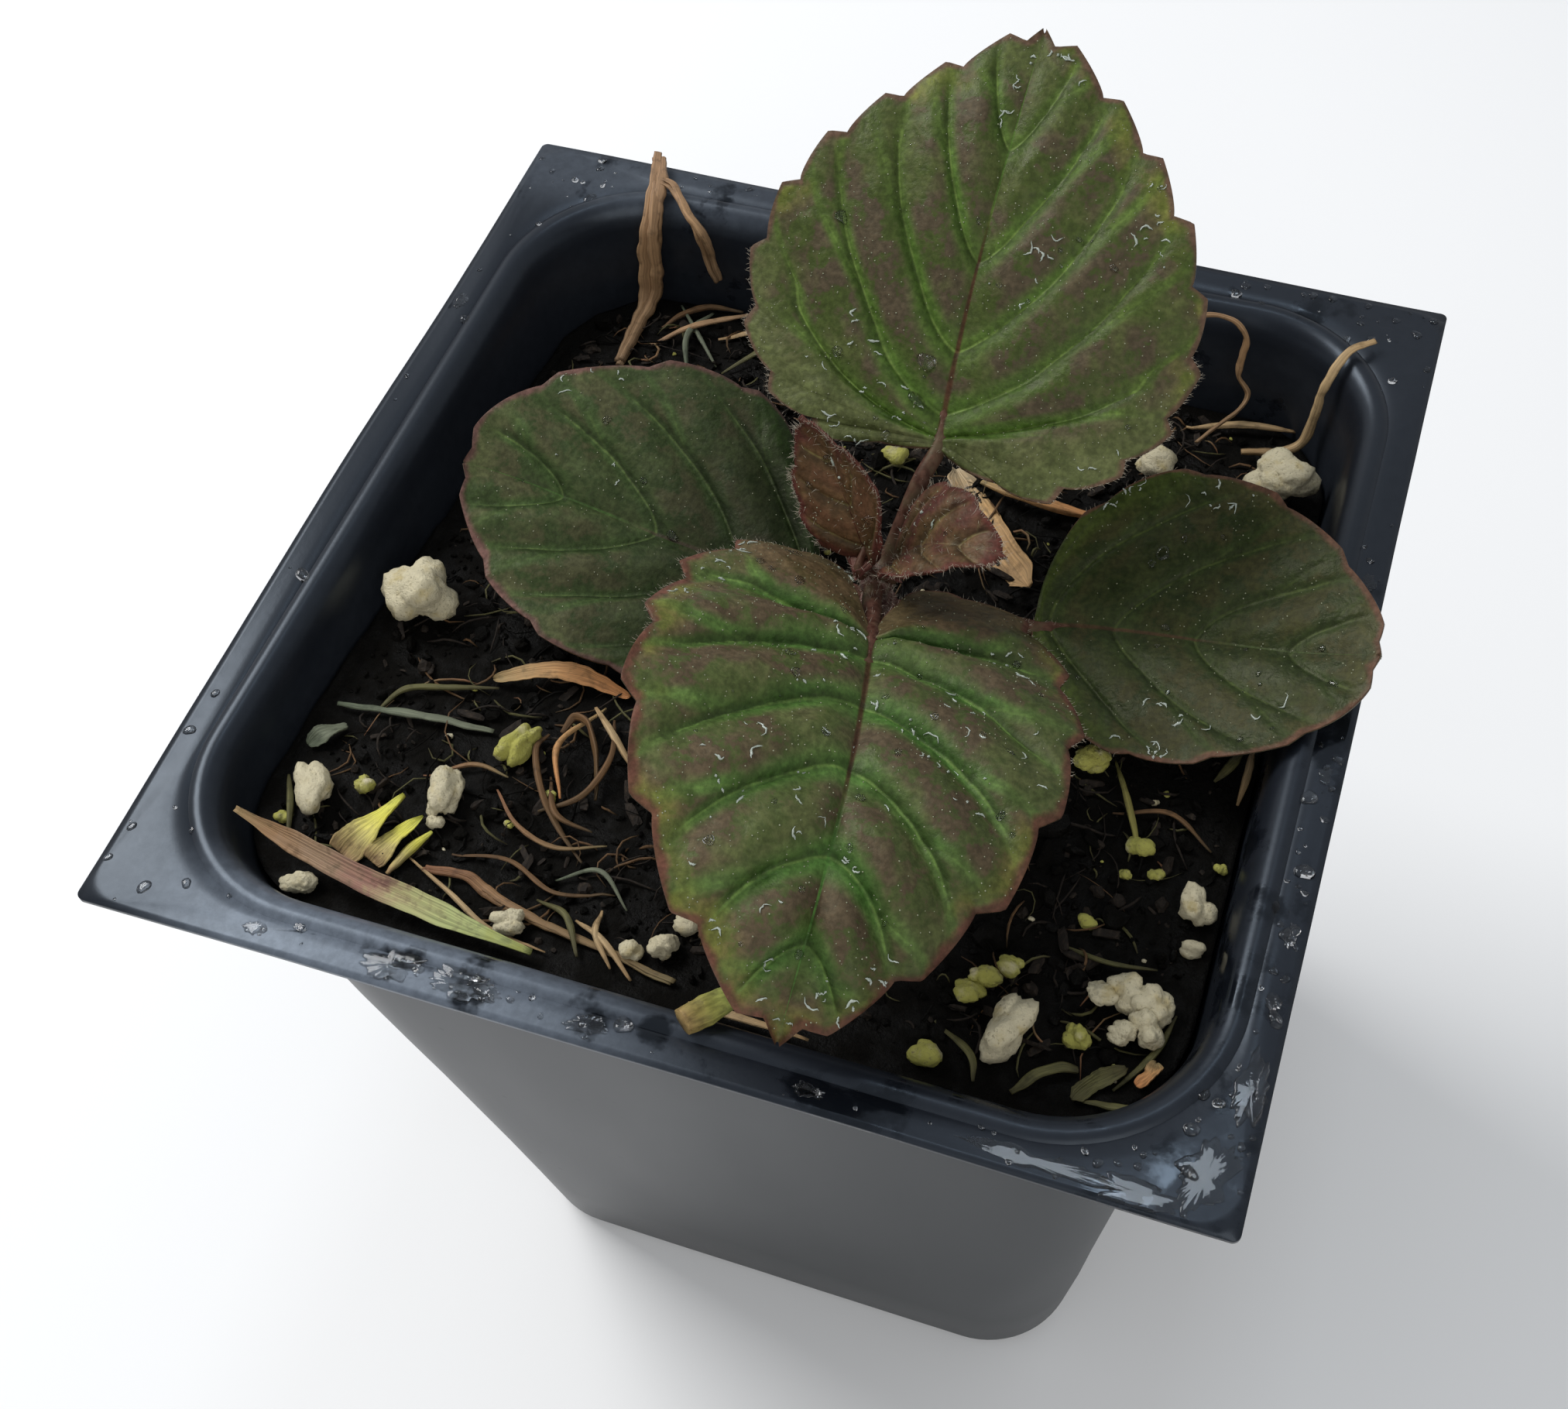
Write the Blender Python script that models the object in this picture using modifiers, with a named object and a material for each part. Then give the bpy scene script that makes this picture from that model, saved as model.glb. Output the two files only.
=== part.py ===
"""A bee balm seedling in a square nursery pot: a thin plastic pot, its soil, a short stem with six leaves,
and the perlite grains and dry litter that lie on the soil.

Sizes are in millimetres, and MM turns them into the scene's metres. The origin is the centre of the pot's
base, +Z is up, +X runs along the pot's front side to the right and +Y to its back. The plant and what lies on
the soil are placed from the centre of the rim, so their heights are below zero inside the pot.
"""
import math

import bmesh
import bpy
import numpy as np
from mathutils import Vector, noise
from mathutils.bvhtree import BVHTree

MM = 0.001
GAP = 0.35

# Pot: half sides and corner radii of its outside at the base and at the wall's top
POT_HEIGHT = 89.0
FLANGE_SIDE = 89.0
FLANGE_CORNER = 0.6
POT_SHEET = 0.8
BODY_TOP_HALF = 39.5
BODY_TOP_Z = 84.6
BODY_TOP_CORNER = 11.5
BASE_HALF = 31.0
BASE_CORNER = 9.7
BASE_EDGE = 2.6
BASE_MIDDLE = (14.0, 4.4)
# Round edge under the wall: how far in, and the height
BASE_ROUND = ((2.6, 0.0), (0.7, 0.8), (0.0, BASE_EDGE))
# Rolled shoulder and crease round the mouth: half side, and depth under the flange
SHOULDER = ((39.8, 1.8), (40.4, 0.5), (41.2, 0.0), (41.7, 0.35), (42.2, 0.05))
# The flange's edge waves along X and Y (height, length) and droops at the front left corner
WAVE_X = (0.22, 9.0)
WAVE_Y = (0.18, 7.5)
DROOP = 0.9
DROOP_REACH = 14.0
DRAIN_RADIUS = 4.0
DRAIN_REACH = 17.0
DRAIN_CUT = 6.0
CORNER_STEPS = 6
SIDE_STEPS = 4

# Soil, measured from the rim
SOIL_LEVEL = -7.9
SOIL_SLOPE = -0.082
SOIL_LUMP = 0.8
SOIL_LUMP_SIZE = 9.0
SOIL_RINGS = 15
SOIL_FOOT_INSET = 2.2
STEM_DISH = 0.9
STEM_DISH_REACH = 7.0

# Stem: centre line from its root end to the growing tip, with the radius at each point
STEM_LINE = ((3.6, 4.0, -24.0, 0.5), (3.6, 4.0, -16.0, 1.0), (3.6, 4.0, -9.5, 1.25), (3.9, 3.2, -6.0, 1.2),
             (4.4, 1.9, -4.0, 1.6), (4.8, 0.9, -2.0, 1.15), (5.2, -0.3, 1.2, 1.1), (5.4, -0.9, 3.0, 1.45),
             (5.5, -1.3, 4.2, 0.7))
STEM_HOLE_RADIUS = 1.75
STEM_HOLE_TOP = 3.0
STEM_HOLE_DEPTH = -25.5

# Leaves: thickness of the blade, dip along the midrib, how the side veins leave the midrib and bend forward, and
# how the blade quilts between them
BLADE = 0.7
VEIN_DIP = 0.35
VEIN_WIDTH = 1.1
VEIN_START = 0.12
VEIN_BEND = 1.5
VEIN_CROWD = 1.45
QUILT_ALONG = 0.8
QUILT_ACROSS = 0.6
QUILT_START = 4.0
MARGIN_WAVES = 2.5
CUP_REACH = 20.0
RIB_PLACES = (0.0, 0.12, 0.3, 0.5, 0.68)
RIB_DROP = VEIN_DIP + 0.75 * BLADE
COLUMNS = (0.0, 0.22, 0.48, 0.74, 0.92, 1.0)
TOOTH_TOP = 0.8
TOOTH_INSET = 0.7
TOOTH_START = 0.1
TOOTH_END = 0.97

# Each leaf is a midrib, four curve points from the base of the blade to its tip; a side direction, which
# tilts the blade; how far the sheet cups and folds up; and an outline for either side, as
# ((lobe handle), (width handle), (widest point), (width handle), (tip handle)), each (across, along).
LEAVES = {
    "leaf_front": dict(
        midrib=((8.1, -9.4, 8.0), (12.5, -25.2, 13.8), (12.8, -34.9, 12.7), (11.9, -42.4, 5.0)),
        petiole=((5.7, -2.9, 3.0), (6.6, -5.4, 4.7)), petiole_radius=0.8,
        side=(1.0, 0.2, -0.3), cup=0.15, fold=0.0, lobe_droop=0.02,
        left=((1.0, -23.0), (17.0, -8.0), (17.0, 12.0), (17.0, 22.0), (8.0, 31.0)),
        right=((1.0, -17.0), (15.5, -10.0), (15.8, 8.0), (15.8, 18.0), (9.0, 31.0)),
        teeth=8, tooth=1.2, veins=7, quilt=0.9, wave=0.5, seed=11),
    "leaf_back": dict(
        midrib=((8.1, 7.3, 11.0), (7.4, 14.2, 14.3), (8.3, 19.4, 23.7), (8.7, 35.4, 30.0)),
        petiole=((5.9, 1.0, 4.0), (7.3, 4.9, 8.9)), petiole_radius=0.7,
        side=(1.0, 0.0, 0.0), cup=0.0, fold=0.0, lobe_droop=0.0,
        left=((6.0, -2.5), (18.0, 0.0), (18.3, 11.0), (18.3, 20.0), (8.0, 30.5)),
        right=((5.0, -6.0), (18.5, -5.0), (18.8, 11.0), (18.8, 20.0), (8.0, 30.5)),
        teeth=9, tooth=1.1, veins=7, quilt=0.55, wave=0.4, seed=23),
    "leaf_left": dict(
        midrib=((-1.2, 3.2, -4.0), (-11.4, 1.1, -3.9), (-23.6, 4.2, -0.8), (-32.6, 1.3, 3.0)),
        petiole=((2.4, 2.4, -4.0), (0.6, 2.8, -4.2)), petiole_radius=0.75,
        side=(0.1, 1.0, 0.2), cup=0.2, fold=0.0, lobe_droop=0.0,
        left=((5.0, 0.0), (13.5, 3.5), (13.8, 14.5), (13.8, 23.0), (8.0, 32.5)),
        right=((5.0, 0.0), (15.2, 3.0), (15.3, 14.0), (15.3, 23.5), (8.0, 32.5)),
        teeth=5, tooth=0.6, veins=5, quilt=0.55, wave=0.3, seed=37),
    "leaf_right": dict(
        midrib=((17.7, 2.7, -3.0), (23.4, 5.6, -3.7), (36.8, 3.1, -0.6), (45.0, 2.2, 4.0)),
        petiole=((6.5, 1.9, -3.9), (12.0, 2.6, -3.6)), petiole_radius=0.75,
        side=(0.0, 1.0, 0.2), cup=0.2, fold=0.0, lobe_droop=0.0,
        left=((6.0, -3.0), (11.6, 3.0), (11.8, 12.5), (11.8, 20.0), (7.0, 28.8)),
        right=((5.0, 1.0), (14.3, 3.5), (14.6, 11.0), (14.6, 17.0), (7.0, 28.8)),
        teeth=5, tooth=0.5, veins=5, quilt=0.4, wave=0.3, seed=41),
    "young_leaf_left": dict(
        midrib=((4.9, -1.9, 5.6), (4.6, -2.4, 9.3), (1.8, 1.5, 12.2), (-1.7, 2.8, 16.0)),
        petiole=((4.9, -1.4, 4.7), (4.9, -1.7, 5.1)), petiole_radius=0.53,
        side=(1.0, -0.3, 0.5), cup=0.0, fold=0.3, lobe_droop=0.0,
        left=((2.5, 0.0), (4.3, 3.0), (4.3, 6.0), (4.3, 9.0), (2.2, 12.0)),
        right=((0.8, 1.5), (5.4, 3.5), (5.6, 6.5), (5.6, 9.0), (2.2, 12.0)),
        teeth=4, tooth=0.4, veins=4, quilt=0.35, wave=0.1, seed=53),
    "young_leaf_right": dict(
        midrib=((6.6, -1.9, 5.2), (7.4, -1.0, 10.3), (13.1, -3.5, 13.9), (17.0, -3.6, 13.0)),
        petiole=((6.3, -1.5, 4.6), (6.4, -1.6, 4.8)), petiole_radius=0.5,
        side=(0.3, 1.0, 0.3), cup=0.0, fold=0.2, lobe_droop=0.0,
        left=((1.2, 1.0), (3.6, 3.0), (3.7, 6.0), (3.7, 9.0), (2.2, 12.5)),
        right=((1.2, 1.0), (5.1, 3.0), (5.2, 6.0), (5.2, 9.0), (2.2, 12.5)),
        teeth=4, tooth=0.35, veins=4, quilt=0.35, wave=0.2, seed=59),
}

# Perlite grains: place on the soil, then length, breadth, height and the turn in degrees
GRAINS = (
    (-34.0, -8.0, 6.6, 5.4, 6.0, 20), (-33.0, -29.1, 4.8, 3.0, 3.2, 125), (-29.7, -27.0, 1.8, 1.7, 1.7, 0),
    (-23.0, -25.9, 4.5, 2.6, 3.2, 95), (-19.2, -19.7, 4.7, 2.5, 2.8, 70), (-30.4, -36.9, 3.0, 1.9, 1.7, 10),
    (-13.2, -35.3, 2.7, 2.2, 2.2, 30), (-1.2, -33.5, 2.5, 2.2, 2.5, 15), (22.9, -28.8, 5.0, 2.4, 2.8, 55),
    (25.4, -32.9, 5.8, 3.1, 3.6, 65), (30.4, -31.4, 2.2, 2.0, 1.9, 0), (36.2, -18.1, 3.4, 2.8, 2.8, 120),
    (33.8, 28.2, 7.0, 4.6, 4.6, 10), (25.2, -6.9, 3.2, 2.6, 2.2, 40),
)
GRAIN_ROUGHNESS = 0.22
GRAIN_LUMPS = 1.6
# The largest grain is five lumps grown together: their places and radii
JOINED_GRAIN = ((31.3, -27.8, 1.1), (32.9, -27.4, 1.35), (34.9, -27.9, 1.5), (35.0, -29.6, 1.3),
                (33.4, -30.5, 0.95))

# Flat dry blades: points along the middle as (x, y, height), width, and the turn of the blade about its own
# line in degrees. Heights are over the soil, or from the rim where from_rim is True
BLADES = {
    "grass_blade": dict(
        line=((-36.5, -33.9, -0.9), (-33.2, -34.4, -2.0), (-28.8, -35.2, -2.5), (-24.5, -35.9, -2.9),
              (-20.6, -36.3, -3.1), (-15.7, -36.9, -3.4), (-10.2, -37.4, -3.6)),
        width=2.0, roll=15, from_rim=True, material="fresh litter"),
    "green_sliver_1": dict(
        line=((-28.4, -33.6, 0.5), (-27.2, -30.7, 1.3), (-25.8, -27.4, 2.0)),
        width=1.8, roll=0, from_rim=False, material="fresh litter"),
    "green_sliver_2": dict(
        line=((-25.9, -33.4, 0.4), (-25.0, -30.9, 1.0), (-23.6, -28.6, 1.4)),
        width=1.3, roll=10, from_rim=False, material="fresh litter"),
    "orange_leaf": dict(
        line=((-24.9, -13.5, 0.4), (-21.1, -11.8, 1.3), (-17.7, -11.4, 1.4), (-13.0, -12.0, 0.5)),
        width=1.7, roll=25, from_rim=False, material="dry litter"),
    "tan_straw": dict(
        line=((5.2, 22.2, 0.5), (8.3, 17.9, 0.6), (11.4, 13.9, 0.5), (15.2, 10.4, 0.4)),
        width=2.8, roll=0, from_rim=False, material="dry litter"),
    "brown_curl": dict(
        line=((36.3, -31.6, 0.5), (36.1, -32.7, 0.9), (35.3, -33.9, 0.4)),
        width=1.5, roll=20, from_rim=False, material="dry litter"),
    "dull_straw": dict(
        line=((31.2, -36.3, 0.4), (32.6, -34.5, 0.7), (34.3, -32.6, 0.4)),
        width=1.3, roll=0, from_rim=False, material="dry litter"),
    "flake": dict(
        line=((-36.4, -24.6, 0.4), (-35.4, -23.2, 0.8), (-34.2, -21.8, 0.4)),
        width=1.7, roll=0, from_rim=False, material="dry litter"),
}
BLADE_LITTER = 0.6
BLADE_END = 0.35
BLADE_FOLD = 0.12

# Round straws: points as (x, y, height) and the radius, heights as for the blades
STRAWS = {
    "dead_stem": dict(
        line=((-32.0, 44.6, 1.25), (-30.6, 40.9, 1.3), (-30.1, 37.3, -0.9), (-30.5, 36.8, -5.2),
              (-31.0, 35.9, -8.6), (-30.8, 33.0, -9.3), (-30.3, 26.4, -8.8)),
        radius=0.75, from_rim=True),
    "dead_branch": dict(
        line=((-28.2, 40.3, 0.75), (-26.9, 38.6, 0.5), (-25.1, 37.4, -0.9), (-24.4, 37.4, -4.2),
              (-23.6, 37.0, -6.3)),
        radius=0.6, from_rim=True),
    "curled_straw": dict(
        line=((17.6, 36.6, -9.6), (19.4, 37.4, -4.0), (22.8, 37.7, 0.2), (26.1, 37.7, 0.9),
              (27.7, 37.4, -0.4), (27.8, 37.3, -2.8), (27.7, 37.3, -5.5), (28.8, 36.9, -7.2),
              (28.0, 35.2, -8.2), (25.4, 31.1, -8.6)),
        radius=0.45, from_rim=True),
    "straw_back_right": dict(
        line=((38.9, 38.6, 0.85), (37.0, 36.7, 0.95), (35.6, 34.6, -1.4), (34.9, 33.9, -7.4),
              (33.4, 32.9, -9.2), (29.6, 31.6, -9.0)),
        radius=0.45, from_rim=True),
    "brown_twig": dict(
        line=((-21.8, -32.4, 0.7), (-18.5, -32.2, 0.9), (-16.0, -32.9, 0.6), (-11.6, -34.2, 0.9),
              (-4.5, -35.2, 0.5), (0.6, -36.2, 0.5)),
        radius=0.45, from_rim=False),
    "grey_straw": dict(
        line=((-36.2, -19.9, 0.8), (-31.0, -19.3, 0.9), (-26.8, -18.8, 0.8), (-22.6, -18.4, 0.5)),
        radius=0.4, from_rim=False),
    "root_loop": dict(
        line=((-17.0, -17.0, 0.4), (-16.3, -15.6, 1.4), (-14.6, -16.4, 1.9), (-12.9, -19.0, 1.2),
              (-11.6, -22.4, 0.4)),
        radius=0.45, from_rim=False),
    "green_stalk": dict(
        line=((26.9, -37.0, 0.5), (28.3, -35.4, 1.2), (29.8, -34.2, 1.0), (31.0, -33.9, 0.6)),
        radius=0.4, from_rim=False),
}
STRAW_END = 0.6

# Cut end of a stalk on the front of the rim
RIM_STUB = dict(place=(5.2, -39.5, 1.0), turn=38.0, tilt=-12.0, length=3.8, radii=(1.0, 1.1, 0.9))

MATERIALS = {
    "pot plastic": ((0.012, 0.014, 0.017), 0.32), "soil": ((0.012, 0.010, 0.007), 0.95),
    "stem": ((0.13, 0.06, 0.035), 0.6), "leaf": ((0.045, 0.065, 0.018), 0.5),
    "young leaf": ((0.09, 0.03, 0.018), 0.55), "perlite": ((0.52, 0.46, 0.32), 0.85),
    "fresh litter": ((0.30, 0.26, 0.09), 0.6), "dry litter": ((0.25, 0.13, 0.05), 0.8),
}


def start_model():
    """An empty collection named for the object, in a scene with nothing else, and the materials."""
    for old in list(bpy.data.objects):
        bpy.data.objects.remove(old, do_unlink=True)
    collection = bpy.data.collections.new("potted bee balm")
    bpy.context.scene.collection.children.link(collection)
    for name, (colour, roughness) in MATERIALS.items():
        material = bpy.data.materials.new(name)
        material.use_nodes = True
        shader = material.node_tree.nodes["Principled BSDF"]
        shader.inputs["Base Color"].default_value = (*colour, 1.0)
        shader.inputs["Roughness"].default_value = roughness
        shader.inputs["Metallic"].default_value = 0.0
    return collection


MODEL = start_model()


def add_object(name, mesh, material):
    """A named object of that mesh in the model's collection, smooth but for its sharp edges."""
    mesh.materials.clear()
    mesh.materials.append(bpy.data.materials[material])
    mesh.shade_smooth()
    mesh.set_sharp_from_angle(angle=math.radians(40))
    thing = bpy.data.objects.new(name, mesh)
    MODEL.objects.link(thing)
    return thing


def mesh_of(bm, name):
    """A mesh from bm, which holds millimetres."""
    bmesh.ops.scale(bm, vec=(MM, MM, MM), verts=bm.verts)
    mesh = bpy.data.meshes.new(name)
    bm.to_mesh(mesh)
    bm.free()
    return mesh


def bake(thing):
    """Puts the result of the object's modifiers in its mesh."""
    bpy.context.view_layer.update()
    seen = thing.evaluated_get(bpy.context.evaluated_depsgraph_get())
    thing.data = bpy.data.meshes.new_from_object(seen)
    thing.modifiers.clear()


def combine(thing, others, operation, solver="EXACT"):
    """Joins the others to the object, or cuts them from it, and removes them."""
    group = bpy.data.collections.new("cutters")
    bpy.context.scene.collection.children.link(group)
    for other in others:
        MODEL.objects.unlink(other)
        group.objects.link(other)
    step = thing.modifiers.new("Boolean", "BOOLEAN")
    step.operation = operation
    step.solver = solver
    step.operand_type = "COLLECTION"
    step.collection = group
    bake(thing)
    for other in others:
        bpy.data.objects.remove(other, do_unlink=True)
    bpy.data.collections.remove(group)


def thicken(thing, thickness):
    """Gives an open sheet its thickness, on the side away from its normals."""
    step = thing.modifiers.new("Solidify", "SOLIDIFY")
    step.thickness = thickness * MM
    step.offset = -1.0
    step.use_even_offset = False
    bake(thing)


def tube(name, points, radii, material, sides=2):
    """A mesh tube with filled ends along a smooth line, points in millimetres from the base."""
    curve = bpy.data.curves.new(name, "CURVE")
    curve.dimensions = "3D"
    curve.bevel_depth = MM
    curve.bevel_resolution = sides
    curve.use_fill_caps = True
    line = curve.splines.new("POLY")
    line.points.add(len(points) - 1)
    for spot, place, radius in zip(line.points, points, radii):
        spot.co = (*(Vector(place) * MM), 1.0)
        spot.radius = radius
    rod = bpy.data.objects.new(name + "_line", curve)
    MODEL.objects.link(rod)
    bpy.context.view_layer.update()
    mesh = bpy.data.meshes.new_from_object(rod.evaluated_get(bpy.context.evaluated_depsgraph_get()))
    bpy.data.objects.remove(rod, do_unlink=True)
    bm = bmesh.new()
    bm.from_mesh(mesh)
    bmesh.ops.remove_doubles(bm, verts=bm.verts, dist=1e-6)
    bmesh.ops.triangulate(bm, faces=bm.faces)
    bm.to_mesh(mesh)
    bm.free()
    return add_object(name, mesh, material)


def smooth_line(points, steps):
    """Points on a smooth curve through the given ones, as many as steps in each stretch."""
    points = [np.array(p, float) for p in points]
    ends = [2 * points[0] - points[1], *points, 2 * points[-1] - points[-2]]
    found = []
    for a, b, c, d in zip(ends, ends[1:], ends[2:], ends[3:]):
        for k in range(steps):
            u = k / steps
            found.append(0.5 * (2 * b + (c - a) * u + (2 * a - 5 * b + 4 * c - d) * u**2
                                + (3 * b - a - 3 * c + d) * u**3))
    found.append(points[-1])
    return found


def above_base(point):
    """A point given from the rim's centre, as one from the base's centre."""
    return (point[0], point[1], point[2] + POT_HEIGHT)


def rounded_square(half, radius):
    """Points round a square with round corners, always as many and in the same order."""
    arcs = []
    for corner, (right, back) in enumerate(((1, 1), (-1, 1), (-1, -1), (1, -1))):
        angles = [math.radians(90 * (corner + k / CORNER_STEPS)) for k in range(CORNER_STEPS + 1)]
        middle = (right * (half - radius), back * (half - radius))
        arcs.append([(middle[0] + radius * math.cos(a), middle[1] + radius * math.sin(a)) for a in angles])
    points = []
    for arc, after in zip(arcs, arcs[1:] + arcs[:1]):
        points += arc
        for k in range(1, SIDE_STEPS):
            share = k / SIDE_STEPS
            points.append(tuple(p + (q - p) * share for p, q in zip(arc[-1], after[0])))
    return points


def add_ring(bm, points):
    """Vertices of a ring, from points in millimetres."""
    return [bm.verts.new(p) for p in points]


def bridge(bm, lower, upper):
    """Faces between two rings with as many vertices, facing out where upper is above lower."""
    count = len(lower)
    for k in range(count):
        after = (k + 1) % count
        bm.faces.new((lower[k], lower[after], upper[after], upper[k]))


def fan(bm, ring, centre, up):
    """Triangles from a ring to a centre, facing up or down."""
    middle = bm.verts.new(centre)
    for k, vert in enumerate(ring):
        after = ring[(k + 1) % len(ring)]
        bm.faces.new((vert, after, middle) if up else (after, vert, middle))


def wall_at(z):
    """Half the side and the corner radius of the pot's outside at height z."""
    share = (z - BASE_EDGE) / (BODY_TOP_Z - BASE_EDGE)
    half = BASE_HALF + (BODY_TOP_HALF - BASE_HALF) * share
    return (half, BASE_CORNER + (BODY_TOP_CORNER - BASE_CORNER) * share)


def flange_wave(x, y):
    """How far the thin flange's edge lies off its plane: a slight wave, and a drooping front left corner."""
    wave = WAVE_X[0] * math.sin(x / WAVE_X[1]) + WAVE_Y[0] * math.cos(y / WAVE_Y[1])
    corner = math.hypot(x + FLANGE_SIDE / 2, y + FLANGE_SIDE / 2)
    return wave - DROOP * math.exp(-(corner / DROOP_REACH) ** 2)


def make_pot():
    """The pot's outside skin from the middle of its base to the flange's edge, then its thickness and holes."""
    under = POT_HEIGHT - POT_SHEET
    profile = [(*BASE_MIDDLE, 0.0)]
    profile += [(BASE_HALF - inset, BASE_CORNER - inset, z) for inset, z in BASE_ROUND]
    profile += [(*wall_at(BODY_TOP_Z), BODY_TOP_Z)]
    profile += [(half, half - BODY_TOP_HALF + BODY_TOP_CORNER, under - depth) for half, depth in SHOULDER]
    profile += [(FLANGE_SIDE / 2, FLANGE_CORNER, under)]
    bm = bmesh.new()
    rings = []
    for half, radius, z in profile:
        edge = half == FLANGE_SIDE / 2
        rings.append(add_ring(bm, [(x, y, z + (flange_wave(x, y) if edge else 0.0))
                                   for x, y in rounded_square(half, radius)]))
    fan(bm, rings[0], (0, 0, 0), up=False)
    for lower, upper in zip(rings, rings[1:]):
        bridge(bm, lower, upper)
    pot = add_object("pot", mesh_of(bm, "pot"), "pot plastic")
    thicken(pot, POT_SHEET)
    drills = []
    for right in (-1, 1):
        for back in (-1, 1):
            bm = bmesh.new()
            bmesh.ops.create_cone(bm, cap_ends=True, segments=12, radius1=DRAIN_RADIUS, radius2=DRAIN_RADIUS,
                                  depth=DRAIN_CUT)
            bmesh.ops.translate(bm, vec=(right * DRAIN_REACH, back * DRAIN_REACH, 0), verts=bm.verts)
            drills.append(add_object(f"drill_{len(drills)}", mesh_of(bm, "drill"), "pot plastic"))
    combine(pot, drills, "DIFFERENCE")
    return pot


def soil_height(x, y):
    """The soil's surface, from the rim: lower at the back, lumpy, with a dish round the stem."""
    lumps = SOIL_LUMP * noise.noise(Vector((x, y, 0.0)) / SOIL_LUMP_SIZE)
    off = math.hypot(x - STEM_LINE[0][0], y - STEM_LINE[0][1])
    return SOIL_LEVEL + SOIL_SLOPE * y + lumps - STEM_DISH * math.exp(-(off / STEM_DISH_REACH) ** 2)


def soil_edge(z):
    """Half the side and the corner radius of the soil at height z."""
    half, radius = wall_at(z)
    return (half - POT_SHEET - GAP, radius - POT_SHEET - GAP)


def make_soil():
    """A block that fills the pot, with a lumpy top and a plain hole for the stem."""
    bm = bmesh.new()
    rim = []
    for guess in rounded_square(*soil_edge(POT_HEIGHT + SOIL_LEVEL)):
        z = POT_HEIGHT + soil_height(*guess)
        share = soil_edge(z)[0] / soil_edge(POT_HEIGHT + SOIL_LEVEL)[0]
        rim.append((guess[0] * share, guess[1] * share))
    foot = BASE_EDGE + POT_SHEET
    low = POT_SHEET + GAP
    half, radius = soil_edge(foot)
    inner = rounded_square(half - SOIL_FOOT_INSET, radius - SOIL_FOOT_INSET)
    rings = [add_ring(bm, [(x, y, low) for x, y in inner]),
             add_ring(bm, [(x, y, foot) for x, y in rounded_square(half, radius)])]
    for k in range(SOIL_RINGS, 0, -1):
        share = k / SOIL_RINGS
        rings.append(add_ring(bm, [(x * share, y * share, POT_HEIGHT + soil_height(x * share, y * share))
                                   for x, y in rim]))
    fan(bm, rings[0], (0, 0, low), up=False)
    fan(bm, rings[-1], (0, 0, POT_HEIGHT + soil_height(0, 0)), up=True)
    for lower, upper in zip(rings, rings[1:]):
        bridge(bm, lower, upper)
    bmesh.ops.triangulate(bm, faces=bm.faces)
    soil = add_object("soil", mesh_of(bm, "soil"), "soil")
    bm = bmesh.new()
    bmesh.ops.create_cone(bm, cap_ends=True, segments=10, radius1=STEM_HOLE_RADIUS, radius2=STEM_HOLE_RADIUS,
                          depth=STEM_HOLE_TOP - STEM_HOLE_DEPTH)
    x, y = STEM_LINE[0][:2]
    bmesh.ops.translate(bm, vec=(x, y, POT_HEIGHT + (STEM_HOLE_TOP + STEM_HOLE_DEPTH) / 2), verts=bm.verts)
    combine(soil, [add_object("stem_hole", mesh_of(bm, "stem_hole"), "soil")], "DIFFERENCE")
    return soil


def make_stem():
    """The stem from its root end in the soil to the growing tip, thicker at its two nodes."""
    line = smooth_line(STEM_LINE, 2)
    return tube("stem", [above_base(p) for p in line], [p[3] for p in line], "stem")


def bezier(points, u):
    """A point on the curve of four control points."""
    a, b, c, d = (np.array(p, float) for p in points)
    return (1 - u) ** 3 * a + 3 * (1 - u) ** 2 * u * b + 3 * (1 - u) * u**2 * c + u**3 * d


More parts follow.
